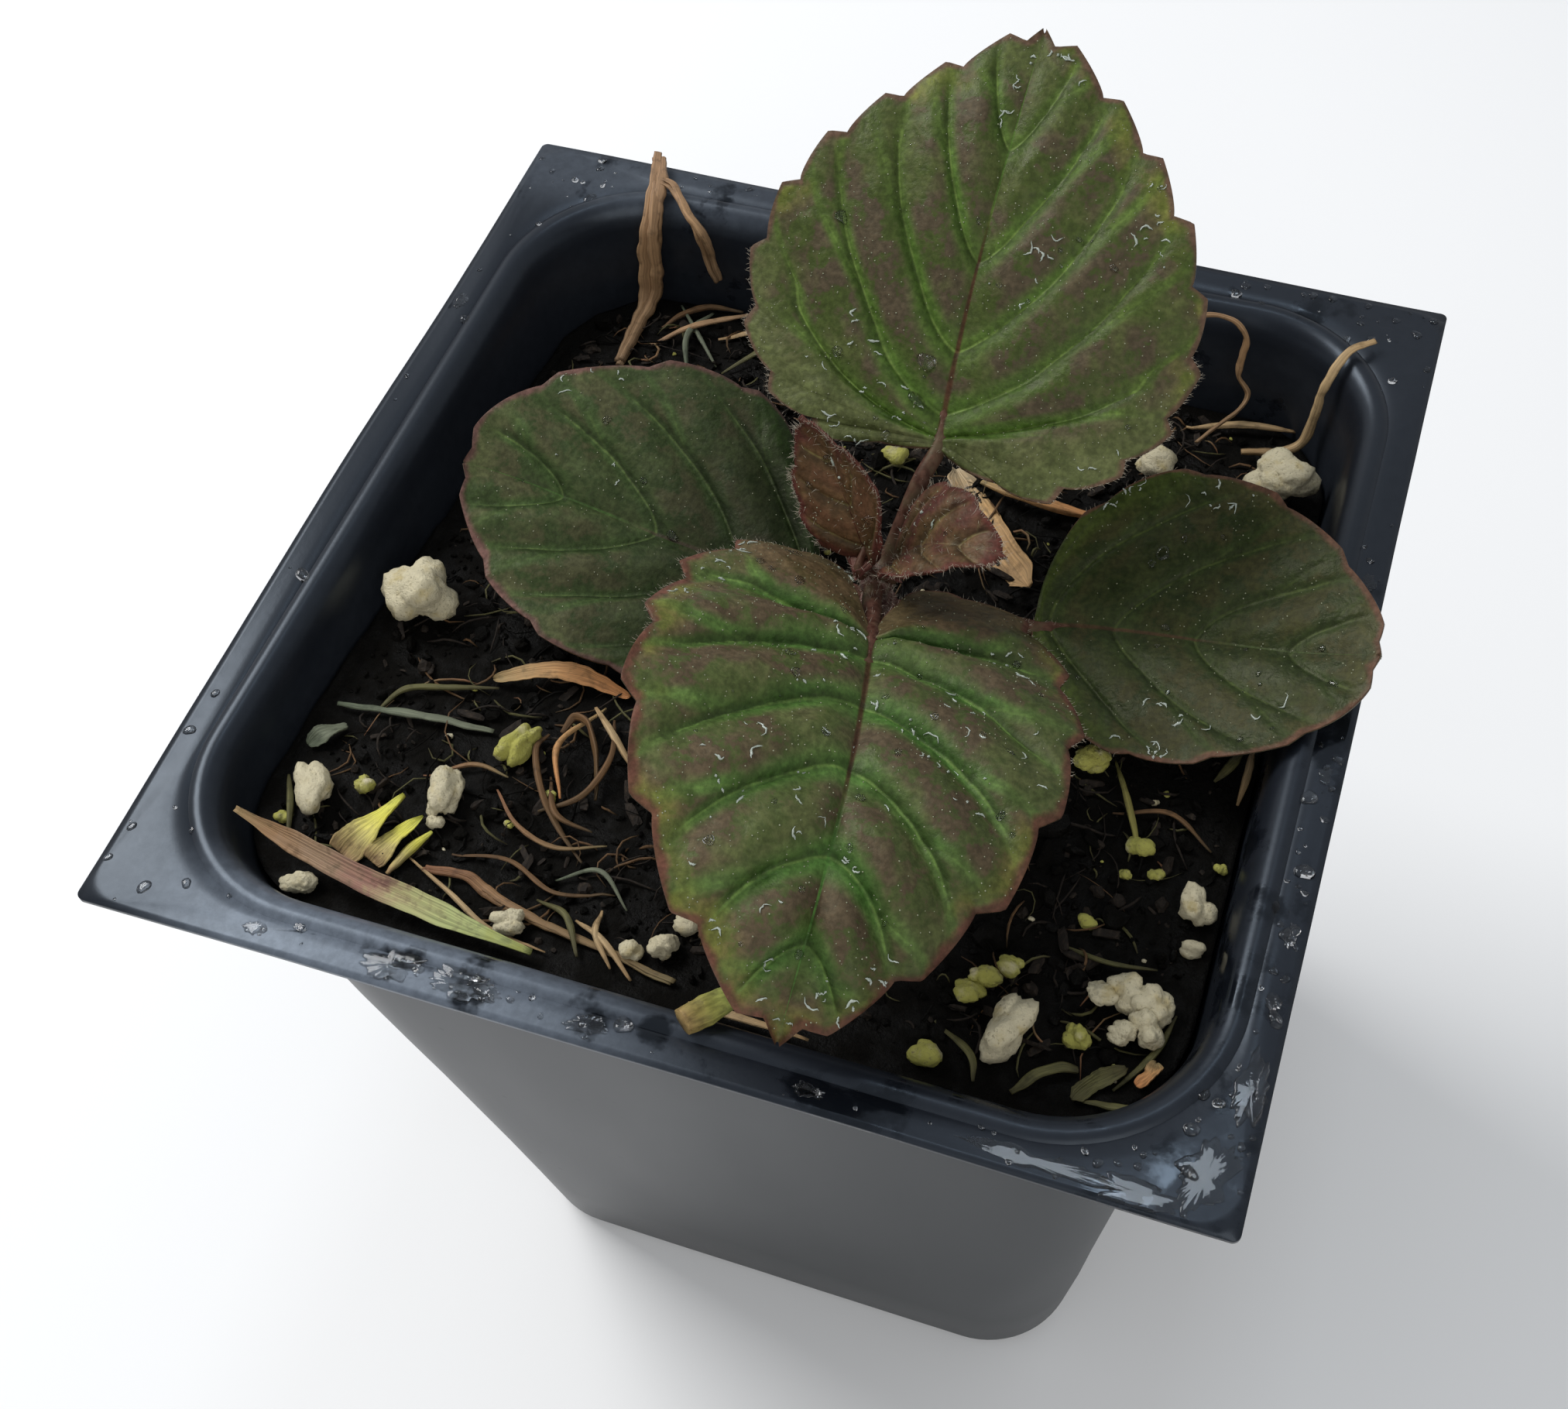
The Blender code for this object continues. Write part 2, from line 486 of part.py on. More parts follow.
class Blade:
    """A leaf's sheet: t runs from the base of the blade to its tip, s from the midrib, 0, to the margin, 1."""

    def __init__(self, leaf):
        self.leaf = leaf
        self.shares = np.linspace(0, 1, 81)
        self.midrib = np.array([bezier(leaf["midrib"], u) for u in self.shares])
        steps = np.linalg.norm(np.diff(self.midrib, axis=0), axis=1)
        self.along = np.concatenate(([0.0], np.cumsum(steps)))
        self.length = self.along[-1]
        self.edges = {}
        for name in ("left", "right"):
            lobe, low, wide, high, tip = leaf[name]
            first = [bezier(((0, 0), lobe, low, wide), u) for u in self.shares]
            last = [bezier((wide, high, tip, (0, self.length)), u) for u in self.shares[1:]]
            line = np.array(first + last)
            reach = np.concatenate(([0.0], np.cumsum(np.linalg.norm(np.diff(line, axis=0), axis=1))))
            self.edges[name] = (reach / reach[-1], line)

    def frame(self, a):
        """The midrib's point at a, with the leaf's forward, side and up directions there."""
        inside = min(max(a, 0.0), self.length)
        place = np.array([np.interp(inside, self.along, self.midrib[:, k]) for k in range(3)])
        step = 0.02 * self.length
        low, high = max(inside - step, 0.0), min(inside + step, self.length)
        ends = [np.array([np.interp(q, self.along, self.midrib[:, k]) for k in range(3)]) for q in (low, high)]
        forward = ends[1] - ends[0]
        forward /= np.linalg.norm(forward)
        side = np.array(self.leaf["side"], float)
        side -= (side @ forward) * forward
        side /= np.linalg.norm(side)
        up = np.cross(side, forward)
        if up[2] < 0:
            up = -up
        return place + forward * (a - inside), side, up

    def margin(self, name, t):
        """The margin across and along the leaf at t, with its teeth."""
        reach, line = self.edges[name]
        at = np.array([np.interp(t, reach, line[:, k]) for k in range(2)])
        near = [np.array([np.interp(q, reach, line[:, k]) for k in range(2)])
                for q in (max(t - 0.01, 0), min(t + 0.01, 1))]
        direction = near[1] - near[0]
        direction /= max(np.linalg.norm(direction), 1e-9)
        outward = np.array((direction[1], -direction[0]))
        return at + outward * self.tooth(name, t)

    def tooth(self, name, t):
        """How far the margin stands out at t: each tooth swells towards the tip and then steps back in."""
        if not TOOTH_START < t < TOOTH_END:
            return -TOOTH_INSET * self.leaf["tooth"] * min(1.0, t / TOOTH_START, (1 - t) / (1 - TOOTH_END))
        place = (t - TOOTH_START) / (TOOTH_END - TOOTH_START) * self.leaf["teeth"]
        share = place - math.floor(place)
        uneven = 1.0 + 0.3 * noise.noise(Vector((math.floor(place) * 1.7, self.leaf["seed"], len(name))))
        rise = (share / TOOTH_TOP) ** 0.7 if share < TOOTH_TOP else (1 - share) / (1 - TOOTH_TOP)
        return self.leaf["tooth"] * (uneven * rise - TOOTH_INSET)

    def point(self, name, t, s):
        """A point of the sheet, from the rim's centre."""
        leaf = self.leaf
        across, along = self.margin(name, t)
        rib = self.length * (VEIN_START * t + (1 - VEIN_START) * t**3)
        a = rib + (along - rib) * s**VEIN_BEND
        b = across * s * (1 if name == "right" else -1)
        place, side, up = self.frame(a)
        swell = abs(math.sin(math.pi * leaf["veins"] * t**VEIN_CROWD)) ** QUILT_ALONG
        swell *= math.sin(math.pi * s) ** QUILT_ACROSS * min(1.0, QUILT_START * t)
        height = leaf["cup"] * b * b / CUP_REACH + leaf["fold"] * (math.sqrt(b * b + 1.0) - 1.0)
        height += leaf["quilt"] * swell - VEIN_DIP * math.exp(-(b / VEIN_WIDTH) ** 2)
        height += leaf["wave"] * s**4 * math.sin(2 * math.pi * MARGIN_WAVES * t + leaf["seed"])
        height -= leaf["lobe_droop"] * max(0.0, -a) ** 2 * s
        return place + side * b + up * height


def row_places(teeth):
    """Places along the margin: close at the base, then three to a tooth, then the tip."""
    width = (TOOTH_END - TOOTH_START) / teeth
    rows = [TOOTH_START * k / 3 for k in range(1, 4)]
    for k in range(teeth):
        rows += [TOOTH_START + width * (k + share) for share in (0.4, TOOTH_TOP, 1.0)]
    return rows


def make_leaf(name, leaf):
    """A toothed, quilted blade with its thickness, fused with its petiole and the midrib under it."""
    blade = Blade(leaf)
    bm = bmesh.new()
    spots = [("left", s) for s in reversed(COLUMNS[1:])] + [("right", s) for s in COLUMNS]
    rows = [[bm.verts.new(above_base(blade.point(side, t, s))) for side, s in spots]
            for t in row_places(leaf["teeth"])]
    base = bm.verts.new(above_base(blade.point("right", 0.0, 0.0)))
    tip = bm.verts.new(above_base(blade.point("right", 1.0, 0.0)))
    for k in range(len(spots) - 1):
        bm.faces.new((base, rows[0][k + 1], rows[0][k]))
        bm.faces.new((tip, rows[-1][k], rows[-1][k + 1]))
        for low, high in zip(rows, rows[1:]):
            bm.faces.new((low[k], low[k + 1], high[k + 1]))
            bm.faces.new((low[k], high[k + 1], high[k]))
    bm.normal_update()
    if sum(face.normal.z for face in bm.faces) < 0:
        bmesh.ops.reverse_faces(bm, faces=bm.faces)
    material = "young leaf" if name.startswith("young") else "leaf"
    thing = add_object(name, mesh_of(bm, name), material)
    thicken(thing, BLADE)
    line = [*leaf["petiole"]]
    radii = [leaf["petiole_radius"]] * len(line)
    for share in RIB_PLACES:
        place, _, up = blade.frame(blade.length * share)
        line.append(place - up * RIB_DROP)
        radii.append(leaf["petiole_radius"] * (1.0 - share))
    rod = tube(name + "_rod", [above_base(p) for p in line], radii, material, sides=1)
    combine(thing, [rod], "UNION", solver="MANIFOLD")
    return thing


def tree_of(thing):
    """A search tree of the object's mesh, in millimetres."""
    mesh = thing.data
    return BVHTree.FromPolygons([v.co / MM for v in mesh.vertices], [tuple(p.vertices) for p in mesh.polygons])


def clearance(thing, ground):
    """The least height of the object over the ground, measured at the vertices of both."""
    points = [v.co / MM for v in thing.data.vertices]
    tree = tree_of(thing)
    down, lift = Vector((0, 0, -1)), Vector((0, 0, 1))
    least = 1000.0
    for p in points:
        hit = ground["tree"].ray_cast(Vector((p.x, p.y, 2 * POT_HEIGHT)), down)[0]
        if hit is not None:
            least = min(least, p.z - hit.z)
    low = [min(p[k] for p in points) for k in range(2)]
    high = [max(p[k] for p in points) for k in range(2)]
    for q in ground["points"]:
        if low[0] <= q.x <= high[0] and low[1] <= q.y <= high[1]:
            hit = tree.ray_cast(Vector((q.x, q.y, -POT_HEIGHT)), lift)[0]
            if hit is not None:
                least = min(least, hit.z - q.z)
    return least


def as_ground(thing):
    """What clearance needs of an object that others lie on."""
    return {"tree": tree_of(thing), "points": [v.co / MM for v in thing.data.vertices]}


def lift_clear(thing, ground, settle=False):
    """Lifts the object until it clears the ground by the gap, and lowers it too where it is to settle."""
    off = GAP - clearance(thing, ground)
    if off > 0 or settle:
        for vert in thing.data.vertices:
            vert.co.z += off * MM


def lump(place, sizes, turn, seed, detail):
    """A rough rounded grain, with its centre at place."""
    bm = bmesh.new()
    bmesh.ops.create_icosphere(bm, subdivisions=detail, radius=1.0)
    angle = math.radians(turn)
    shift = Vector((seed * 7.3, seed * 3.1, 0.0))
    for vert in bm.verts:
        rough = 1.0 + GRAIN_ROUGHNESS * noise.noise(vert.co * GRAIN_LUMPS + shift)
        x, y, z = (vert.co[k] * rough * sizes[k] / 2 for k in range(3))
        vert.co = (place[0] + x * math.cos(angle) - y * math.sin(angle),
                   place[1] + x * math.sin(angle) + y * math.cos(angle), place[2] + z)
    return bm


def make_grains(ground):
    """Every perlite grain on the soil, the largest one fused from several lumps."""
    for number, (x, y, long, broad, high, turn) in enumerate(GRAINS, start=1):
        bm = lump((x, y, POT_HEIGHT), (long, broad, high), turn, number, 2)
        grain = add_object(f"perlite_{number:02d}", mesh_of(bm, "grain"), "perlite")
        lift_clear(grain, ground, settle=True)
    pieces = []
    for number, (x, y, radius) in enumerate(JOINED_GRAIN):
        bm = lump((x, y, POT_HEIGHT), (2.3 * radius, 2 * radius, 1.9 * radius), 30, 40 + number, 2)
        pieces.append(add_object(f"lump_{number}", mesh_of(bm, "lump"), "perlite"))
    combine(pieces[0], pieces[1:], "UNION")
    pieces[0].name = "perlite_joined"
    lift_clear(pieces[0], ground, settle=True)


def litter_height(litter, x, y, height):
    """The height over the base of a litter point, given over the soil or from the rim."""
    return POT_HEIGHT + height + (0.0 if litter["from_rim"] else soil_height(x, y))


def make_blades(ground):
    """The flat dry blades: a sheet a little folded along its middle, pointed at both ends."""
    for name, blade in BLADES.items():
        line = smooth_line(blade["line"], 4)
        bm = bmesh.new()
        rows = []
        for k, (x, y, height) in enumerate(line):
            before, after = line[max(k - 1, 0)], line[min(k + 1, len(line) - 1)]
            heading = math.atan2(after[1] - before[1], after[0] - before[0])
            share = k / (len(line) - 1)
            half = blade["width"] / 2 * (BLADE_END + (1 - BLADE_END) * abs(math.sin(math.pi * share)) ** 0.5)
            roll = math.radians(blade["roll"])
            z = litter_height(blade, x, y, height) + BLADE_LITTER
            row = []
            for side in (-1, 0, 1):
                reach = half * side
                row.append(bm.verts.new((x - reach * math.cos(roll) * math.sin(heading),
                                         y + reach * math.cos(roll) * math.cos(heading),
                                         z + reach * math.sin(roll) - BLADE_FOLD * (1 - abs(side)))))
            rows.append(row)
        for low, high in zip(rows, rows[1:]):
            for k in range(2):
                bm.faces.new((low[k + 1], low[k], high[k]))
                bm.faces.new((low[k + 1], high[k], high[k + 1]))
        bm.normal_update()
        if sum(face.normal.z for face in bm.faces) < 0:
            bmesh.ops.reverse_faces(bm, faces=bm.faces)
        thing = add_object(name, mesh_of(bm, name), blade["material"])
        thicken(thing, BLADE_LITTER)
        lift_clear(thing, ground)


def make_straws(ground):
    """The round straws and twigs."""
    for name, straw in STRAWS.items():
        line = smooth_line(straw["line"], 3)
        places = [(x, y, litter_height(straw, x, y, height)) for x, y, height in line]
        thin = [straw["radius"] * (STRAW_END + (1 - STRAW_END) * math.sin(math.pi * k / (len(line) - 1)))
                for k in range(len(line))]
        straw = tube(name, places, thin, "dry litter", sides=1)
        lift_clear(straw, ground)


def make_rim_stub(pot):
    """The cut stub of a green stalk that lies over the pot's front edge."""
    x, y, z = RIM_STUB["place"]
    turn, tilt = math.radians(90 - RIM_STUB["turn"]), math.radians(RIM_STUB["tilt"])
    reach = RIM_STUB["length"] / 2
    flat = reach * math.cos(tilt)
    step = (flat * math.cos(turn), flat * math.sin(turn), reach * math.sin(tilt))
    line = [(x + step[0] * k, y + step[1] * k, POT_HEIGHT + z + step[2] * k) for k in (-1, 0, 1)]
    stub = tube("rim_stub", line, RIM_STUB["radii"], "fresh litter", sides=1)
    lift_clear(stub, as_ground(pot), settle=True)


def main():
    pot = make_pot()
    soil = make_soil()
    make_stem()
    for name, leaf in LEAVES.items():
        make_leaf(name, leaf)
    ground = as_ground(soil)
    make_grains(ground)
    make_blades(ground)
    make_straws(ground)
    make_rim_stub(pot)


main()
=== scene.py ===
"""Looks of the potted bee balm: fine leaves, soil, perlite, litter, water drops and the pot's finish.

Sizes are in millimetres, and MM turns them into the scene's metres. The plant and what lies on the soil are
placed from the centre of the rim, as in the part's own source. A fine piece stands for the solid of its name.
"""

import math

import bmesh
import bpy
import numpy as np
from mathutils import Matrix, Vector, noise


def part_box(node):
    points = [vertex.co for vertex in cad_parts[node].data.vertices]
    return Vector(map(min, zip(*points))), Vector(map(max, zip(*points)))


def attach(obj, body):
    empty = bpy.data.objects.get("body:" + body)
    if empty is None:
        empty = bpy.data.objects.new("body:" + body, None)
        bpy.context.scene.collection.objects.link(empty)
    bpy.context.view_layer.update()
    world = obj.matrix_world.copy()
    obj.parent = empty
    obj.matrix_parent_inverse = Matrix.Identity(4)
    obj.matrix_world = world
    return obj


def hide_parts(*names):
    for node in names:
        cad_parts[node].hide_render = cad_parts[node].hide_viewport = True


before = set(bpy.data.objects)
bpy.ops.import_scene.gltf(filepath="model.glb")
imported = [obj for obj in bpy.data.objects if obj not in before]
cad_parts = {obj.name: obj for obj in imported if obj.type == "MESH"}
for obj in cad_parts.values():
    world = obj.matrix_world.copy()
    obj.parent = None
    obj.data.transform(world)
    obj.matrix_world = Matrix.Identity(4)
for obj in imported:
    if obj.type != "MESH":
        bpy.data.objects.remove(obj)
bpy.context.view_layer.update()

MM = 0.001
POT_HEIGHT = 89.0
# A full turn in radians, as the random draws have it
FULL_TURN = 6.28

# Camera of the photograph: place in metres, its axes, focal length and shift
CAMERA_PLACE = (0.0400, -0.0918, 0.2148)
CAMERA_RIGHT = (0.94639, 0.31883, -0.05187)
CAMERA_UP = (-0.23198, 0.78258, 0.57771)
CAMERA_BACK = (0.22479, -0.53470, 0.81459)
CAMERA_LENS = 44.56
CAMERA_SHIFT = (-0.0383, -0.0148)

# Pot: sizes as in its solid, with a slightly sharper shoulder
FLANGE_SIDE = 89.0
FLANGE_CORNER = 0.6
POT_SHEET = 0.8
BODY_TOP_HALF = 39.5
BODY_TOP_Z = 84.6
BODY_TOP_CORNER = 11.5
BASE_HALF = 31.0
BASE_CORNER = 9.7
BASE_EDGE = 2.6
BASE_MIDDLE = (14.0, 4.4)
BASE_ROUND = ((2.6, 0.0), (0.7, 0.8), (0.0, BASE_EDGE))
SHOULDER = ((39.8, 1.8), (40.3, 0.5), (41.1, -0.12), (41.7, 0.42), (42.2, 0.05))
WAVE_X = (0.22, 9.0)
WAVE_Y = (0.18, 7.5)
DROOP = 0.9
DROOP_REACH = 14.0
DRAIN_RADIUS = 4.0
DRAIN_REACH = 17.0
DRAIN_CUT = 6.0

# What only the fine pot has: a thinner lip, shallow dents, how wet the driest part of the rim is, steps
# along a corner and a side, and rings up the walls and across the flange
LIP_SHEET = 0.5
POT_DENT = 0.09
DRY_RIM = 0.13
POT_STEPS = (16, 26)
WALL_RINGS = 8
FLANGE_RINGS = 5

# Soil, as in its solid, then how many rings and steps it has here, and the finer lumps on it
SOIL_LEVEL = -7.9
SOIL_SLOPE = -0.082
SOIL_LUMP = 0.8
SOIL_LUMP_SIZE = 9.0
STEM_DISH = 0.9
STEM_DISH_REACH = 7.0
SOIL_GAP = 0.35
SOIL_FOOT_INSET = 2.2
SOIL_RINGS = 120
SOIL_STEPS = (10, 34)
SOIL_FINE = ((0.55, 3.1), (0.35, 1.3), (0.16, 0.55))

# Stem, as in its solid: points of its axis and its radius there
STEM_LINE = ((3.6, 4.0, -24.0, 0.5), (3.6, 4.0, -16.0, 1.0), (3.6, 4.0, -9.5, 1.25), (3.9, 3.2, -6.0, 1.2),
             (4.4, 1.9, -4.0, 1.6), (4.8, 0.9, -2.0, 1.15), (5.2, -0.3, 1.2, 1.1), (5.4, -0.9, 3.0, 1.45),
             (5.5, -1.3, 4.2, 0.7))

# Leaves: the same rules as in their solids
VEIN_DIP = 0.35
VEIN_WIDTH = 1.1
QUILT_ALONG = 0.8
QUILT_ACROSS = 0.6
QUILT_START = 4.0
MARGIN_WAVES = 2.5
CUP_REACH = 20.0
TOOTH_TOP = 0.8
TOOTH_INSET = 0.7
TOOTH_START = 0.1
TOOTH_END = 0.97

# What the fine leaves add: veins that start closer to the base than the solid's, the blade's own thickness,
# grooves along the veins and ribs under them
VEIN_SPREAD = 0.06
QUILT_LEAN = 1.4
DIP_FADE = (0.7, 1.0)
BLADE_MIDDLE = 0.45
BLADE_RIM = 0.2
GROOVE_DEPTH = 0.13
GROOVE_WIDTH = 0.24
RIB_HEIGHT = 0.55
RIB_WIDTH = 0.7
FORK_FROM = 0.5
VEIN_WANDER = 0.07
FORK_TO = 1.05
FORK_SHARE = 0.5
VEIN_RIDGE = 0.22
RIB_TAPER = 0.8
TOOTH_UNEVEN = 0.3
COLUMN_CROWDING = 1.15
WIDEST_PITCH = 20.0
# Rows of a blade: the first and last place along the midrib, how much closer they lie beside a side vein,
# and how far from it, as a share of the distance between two veins
ROW_ENDS = (0.004, 0.997)
ROW_CROWDING = 1.6
ROW_REACH = 0.07
# The petiole runs on under the blade: how deep, at which shares of the midrib, and how its radius shrinks
PETIOLE_DEPTH = 0.35
PETIOLE_SHARES = (0.0, 0.06, 0.14)
PETIOLE_TAPER = (0.95, 2.6)
# Gloss of the blades, whose highlights are a little yellow
LEAF_GLOSS = dict(Roughness=0.5, Specular_IOR_Level=0.2, Specular_Tint=(1.0, 0.97, 0.72, 1.0))

# What the two large leaves, the two older round ones and the two young ones share
LARGE = dict(cup=0.0, fold=0.0, lobe_droop=0.0, rows=250, columns=46)
ROUND = dict(petiole_radius=0.75, cup=0.2, fold=0.0, lobe_droop=0.0, teeth=5, veins=5, crowd=1.9, fan=0.35,
             reach=1.8, bend=1.4, bow=0.12, wave=0.3, rows=190, columns=38, glands=260, hairs=60)
YOUNG = dict(cup=0.0, lobe_droop=0.0, teeth=4, veins=4, crowd=1.6, fan=0.2, reach=1.6, bend=1.3, bow=0.08,
             quilt=0.45, rows=120, columns=26, pucker=0.12, drops=4, glands=60, hairs=420, finish="young")

# A leaf's midrib, petiole, side direction, cup, fold and outlines of its halves are those of its solid. Then
# come its teeth; its side veins: their number, how they crowd at the base, where they fan out to the tip and
# how fast, how they bend and bow; its quilting, waved edge and puckers; and what it carries
LEAVES = {
    "leaf_front": LARGE | dict(
        midrib=((8.1, -9.4, 8.0), (12.5, -25.2, 13.8), (12.8, -34.9, 12.7), (11.9, -42.4, 5.0)),
        petiole=((5.7, -2.9, 3.0), (6.6, -5.4, 4.7)), petiole_radius=0.8, side=(1.0, 0.2, -0.3),
        cup=0.15, lobe_droop=0.02,
        left=((1.0, -23.0), (17.0, -8.0), (17.0, 12.0), (17.0, 22.0), (8.0, 31.0)),
        right=((1.0, -17.0), (15.5, -10.0), (15.8, 8.0), (15.8, 18.0), (9.0, 31.0)),
        teeth=8, tooth=1.2, veins=7, crowd=2.0, fan=0.43, reach=1.6, bend=1.5, bow=0.05, quilt=1.4, wave=0.5,
        pucker=0.22, drops=36, arcs=120, glands=900, hairs=260, finish="front", seed=11),
    "leaf_back": LARGE | dict(
        midrib=((8.1, 7.3, 11.0), (7.4, 14.2, 14.3), (8.3, 19.4, 23.7), (8.7, 35.4, 30.0)),
        petiole=((5.9, 1.0, 4.0), (7.3, 4.9, 8.9)), petiole_radius=0.7, side=(1.0, 0.0, 0.0),
        left=((6.0, -2.5), (18.0, 0.0), (18.3, 11.0), (18.3, 20.0), (8.0, 30.5)),
        right=((5.0, -6.0), (18.5, -5.0), (18.8, 11.0), (18.8, 20.0), (8.0, 30.5)),
        teeth=9, tooth=1.1, veins=6, crowd=1.9, fan=0.4, reach=2.3, bend=1.3, bow=0.14, quilt=0.7, wave=0.4,
        pucker=0.16, drops=22, arcs=60, glands=800, hairs=320, finish="back", seed=23),
    "leaf_left": ROUND | dict(
        midrib=((-1.2, 3.2, -4.0), (-11.4, 1.1, -3.9), (-23.6, 4.2, -0.8), (-32.6, 1.3, 3.0)),
        petiole=((2.4, 2.4, -4.0), (0.6, 2.8, -4.2)), side=(0.1, 1.0, 0.2),
        left=((5.0, 0.0), (13.5, 3.5), (13.8, 14.5), (13.8, 23.0), (8.0, 32.5)),
        right=((5.0, 0.0), (15.2, 3.0), (15.3, 14.0), (15.3, 23.5), (8.0, 32.5)),
        tooth=0.6, quilt=0.9, pucker=0.14, drops=8, arcs=16, finish="left", seed=37),
    "leaf_right": ROUND | dict(
        midrib=((17.7, 2.7, -3.0), (23.4, 5.6, -3.7), (36.8, 3.1, -0.6), (45.0, 2.2, 4.0)),
        petiole=((6.5, 1.9, -3.9), (12.0, 2.6, -3.6)), side=(0.0, 1.0, 0.2),
        left=((6.0, -3.0), (11.6, 3.0), (11.8, 12.5), (11.8, 20.0), (7.0, 28.8)),
        right=((5.0, 1.0), (14.3, 3.5), (14.6, 11.0), (14.6, 17.0), (7.0, 28.8)),
        tooth=0.5, quilt=0.4, pucker=0.12, drops=16, arcs=34, finish="right", seed=41),
    "young_leaf_left": YOUNG | dict(
        midrib=((4.9, -1.9, 5.6), (4.6, -2.4, 9.3), (1.8, 1.5, 12.2), (-1.7, 2.8, 16.0)),
        petiole=((4.9, -1.4, 4.7), (4.9, -1.7, 5.1)), petiole_radius=0.53, side=(1.0, -0.3, 0.5), fold=0.3,
        left=((2.5, 0.0), (4.3, 3.0), (4.3, 6.0), (4.3, 9.0), (2.2, 12.0)),
        right=((0.8, 1.5), (5.4, 3.5), (5.6, 6.5), (5.6, 9.0), (2.2, 12.0)),
        tooth=0.4, wave=0.1, arcs=4, seed=53),
    "young_leaf_right": YOUNG | dict(
        midrib=((6.6, -1.9, 5.2), (7.4, -1.0, 10.3), (13.1, -3.5, 13.9), (17.0, -3.6, 13.0)),
        petiole=((6.3, -1.5, 4.6), (6.4, -1.6, 4.8)), petiole_radius=0.5, side=(0.3, 1.0, 0.3), fold=0.2,
        left=((1.2, 1.0), (3.6, 3.0), (3.7, 6.0), (3.7, 9.0), (2.2, 12.5)),
        right=((1.2, 1.0), (5.1, 3.0), (5.2, 6.0), (5.2, 9.0), (2.2, 12.5)),
        tooth=0.35, wave=0.2, arcs=6, seed=59),
}

# Leaf colours, linear: blade, bright green by the veins, purple between them, rim, base lobes, midrib, edge
# (its own yellow-green, with painted light shining through it on the back leaf) and underside, then how much
# purple there is, how strongly the side veins show, the painted shade beside them, how thin the coloured rim
# is, how much painted light makes the left half lighter than the right one, and how much painted shade
# darkens the base, with as much painted light on the tip
LEAF_COLOURS = {
    "front": dict(blade=(0.066, 0.086, 0.026), bright=(0.060, 0.150, 0.028), purple=(0.064, 0.046, 0.027),
                  rim=(0.085, 0.030, 0.022), lobe=(0.085, 0.056, 0.027), midrib=(0.040, 0.014, 0.008),
                  edge=(0.125, 0.125, 0.026), under=(0.110, 0.085, 0.055), purple_share=1.0, veins=0.85,
                  shade=0.5, rim_thin=0.5, painted_side_light=0.22, base=0.0),
    "back": dict(blade=(0.054, 0.076, 0.017), bright=(0.060, 0.122, 0.017), purple=(0.056, 0.042, 0.025),
                 rim=(0.085, 0.045, 0.032), lobe=(0.078, 0.090, 0.032), midrib=(0.052, 0.017, 0.009),
                 edge=(0.135, 0.150, 0.026), under=(0.110, 0.085, 0.055), purple_share=1.0, veins=0.75,
                 shade=0.42, rim_thin=0.7, painted_side_light=0.0, base=0.0),
    "left": dict(blade=(0.026, 0.041, 0.013), bright=(0.034, 0.070, 0.016), purple=(0.036, 0.033, 0.016),
                 rim=(0.080, 0.038, 0.034), lobe=(0.018, 0.042, 0.007), midrib=(0.040, 0.028, 0.018),
                 edge=(0.050, 0.058, 0.022), under=(0.100, 0.090, 0.055), purple_share=0.8, veins=0.3,
                 shade=0.5, rim_thin=0.6, painted_side_light=0.0, base=0.55),
    "right": dict(blade=(0.020, 0.030, 0.008), bright=(0.030, 0.050, 0.010), purple=(0.032, 0.027, 0.010),
                  rim=(0.090, 0.040, 0.027), lobe=(0.036, 0.054, 0.009), midrib=(0.050, 0.026, 0.013),
                  edge=(0.048, 0.048, 0.016), under=(0.100, 0.090, 0.055), purple_share=0.7, veins=0.3,
                  shade=0.2, rim_thin=0.7, painted_side_light=0.0, base=0.0),
    "young": dict(blade=(0.090, 0.046, 0.022), bright=(0.128, 0.086, 0.036), purple=(0.060, 0.018, 0.015),
                  rim=(0.070, 0.018, 0.015), lobe=(0.066, 0.020, 0.015), midrib=(0.050, 0.013, 0.010),
                  edge=(0.074, 0.026, 0.019), under=(0.100, 0.036, 0.030), purple_share=1.0, veins=0.45,
                  shade=0.5, rim_thin=0.6, painted_side_light=0.0, base=0.0),
}

# Perlite: place on the soil, length, breadth, height, turn in degrees, and how yellow it is
GRAINS = (
    (-34.0, -8.0, 6.6, 5.4, 6.0, 20, 0.1), (-33.0, -29.1, 4.8, 3.0, 3.2, 125, 0.1),
    (-29.7, -27.0, 1.8, 1.7, 1.7, 0, 0.9), (-23.0, -25.9, 4.5, 2.6, 3.2, 95, 0.35),
    (-19.2, -19.7, 4.7, 2.5, 2.8, 70, 0.6), (-30.4, -36.9, 3.0, 1.9, 1.7, 10, 0.2),
    (-13.2, -35.3, 2.7, 2.2, 2.2, 30, 0.5), (-1.2, -33.5, 2.5, 2.2, 2.5, 15, 0.3),
    (22.9, -28.8, 5.0, 2.4, 2.8, 55, 0.95), (25.4, -32.9, 5.8, 3.1, 3.6, 65, 0.1),
    (30.4, -31.4, 2.2, 2.0, 1.9, 0, 0.6), (36.2, -18.1, 3.4, 2.8, 2.8, 120, 0.35),
    (33.8, 28.2, 7.0, 4.6, 4.6, 10, 0.3), (25.2, -6.9, 3.2, 2.6, 2.2, 40, 0.6),
)
JOINED_GRAIN = ((31.3, -27.8, 1.1), (32.9, -27.4, 1.35), (34.9, -27.9, 1.5), (35.0, -29.6, 1.3),
                (33.4, -30.5, 0.95))
# Grain of four lumps side by side: place and size across of each
LUMPS = {"perlite_09": ((21.9, -30.3, 2.3), (22.9, -28.6, 2.0), (24.2, -27.4, 1.9), (22.2, -28.9, 1.4))}
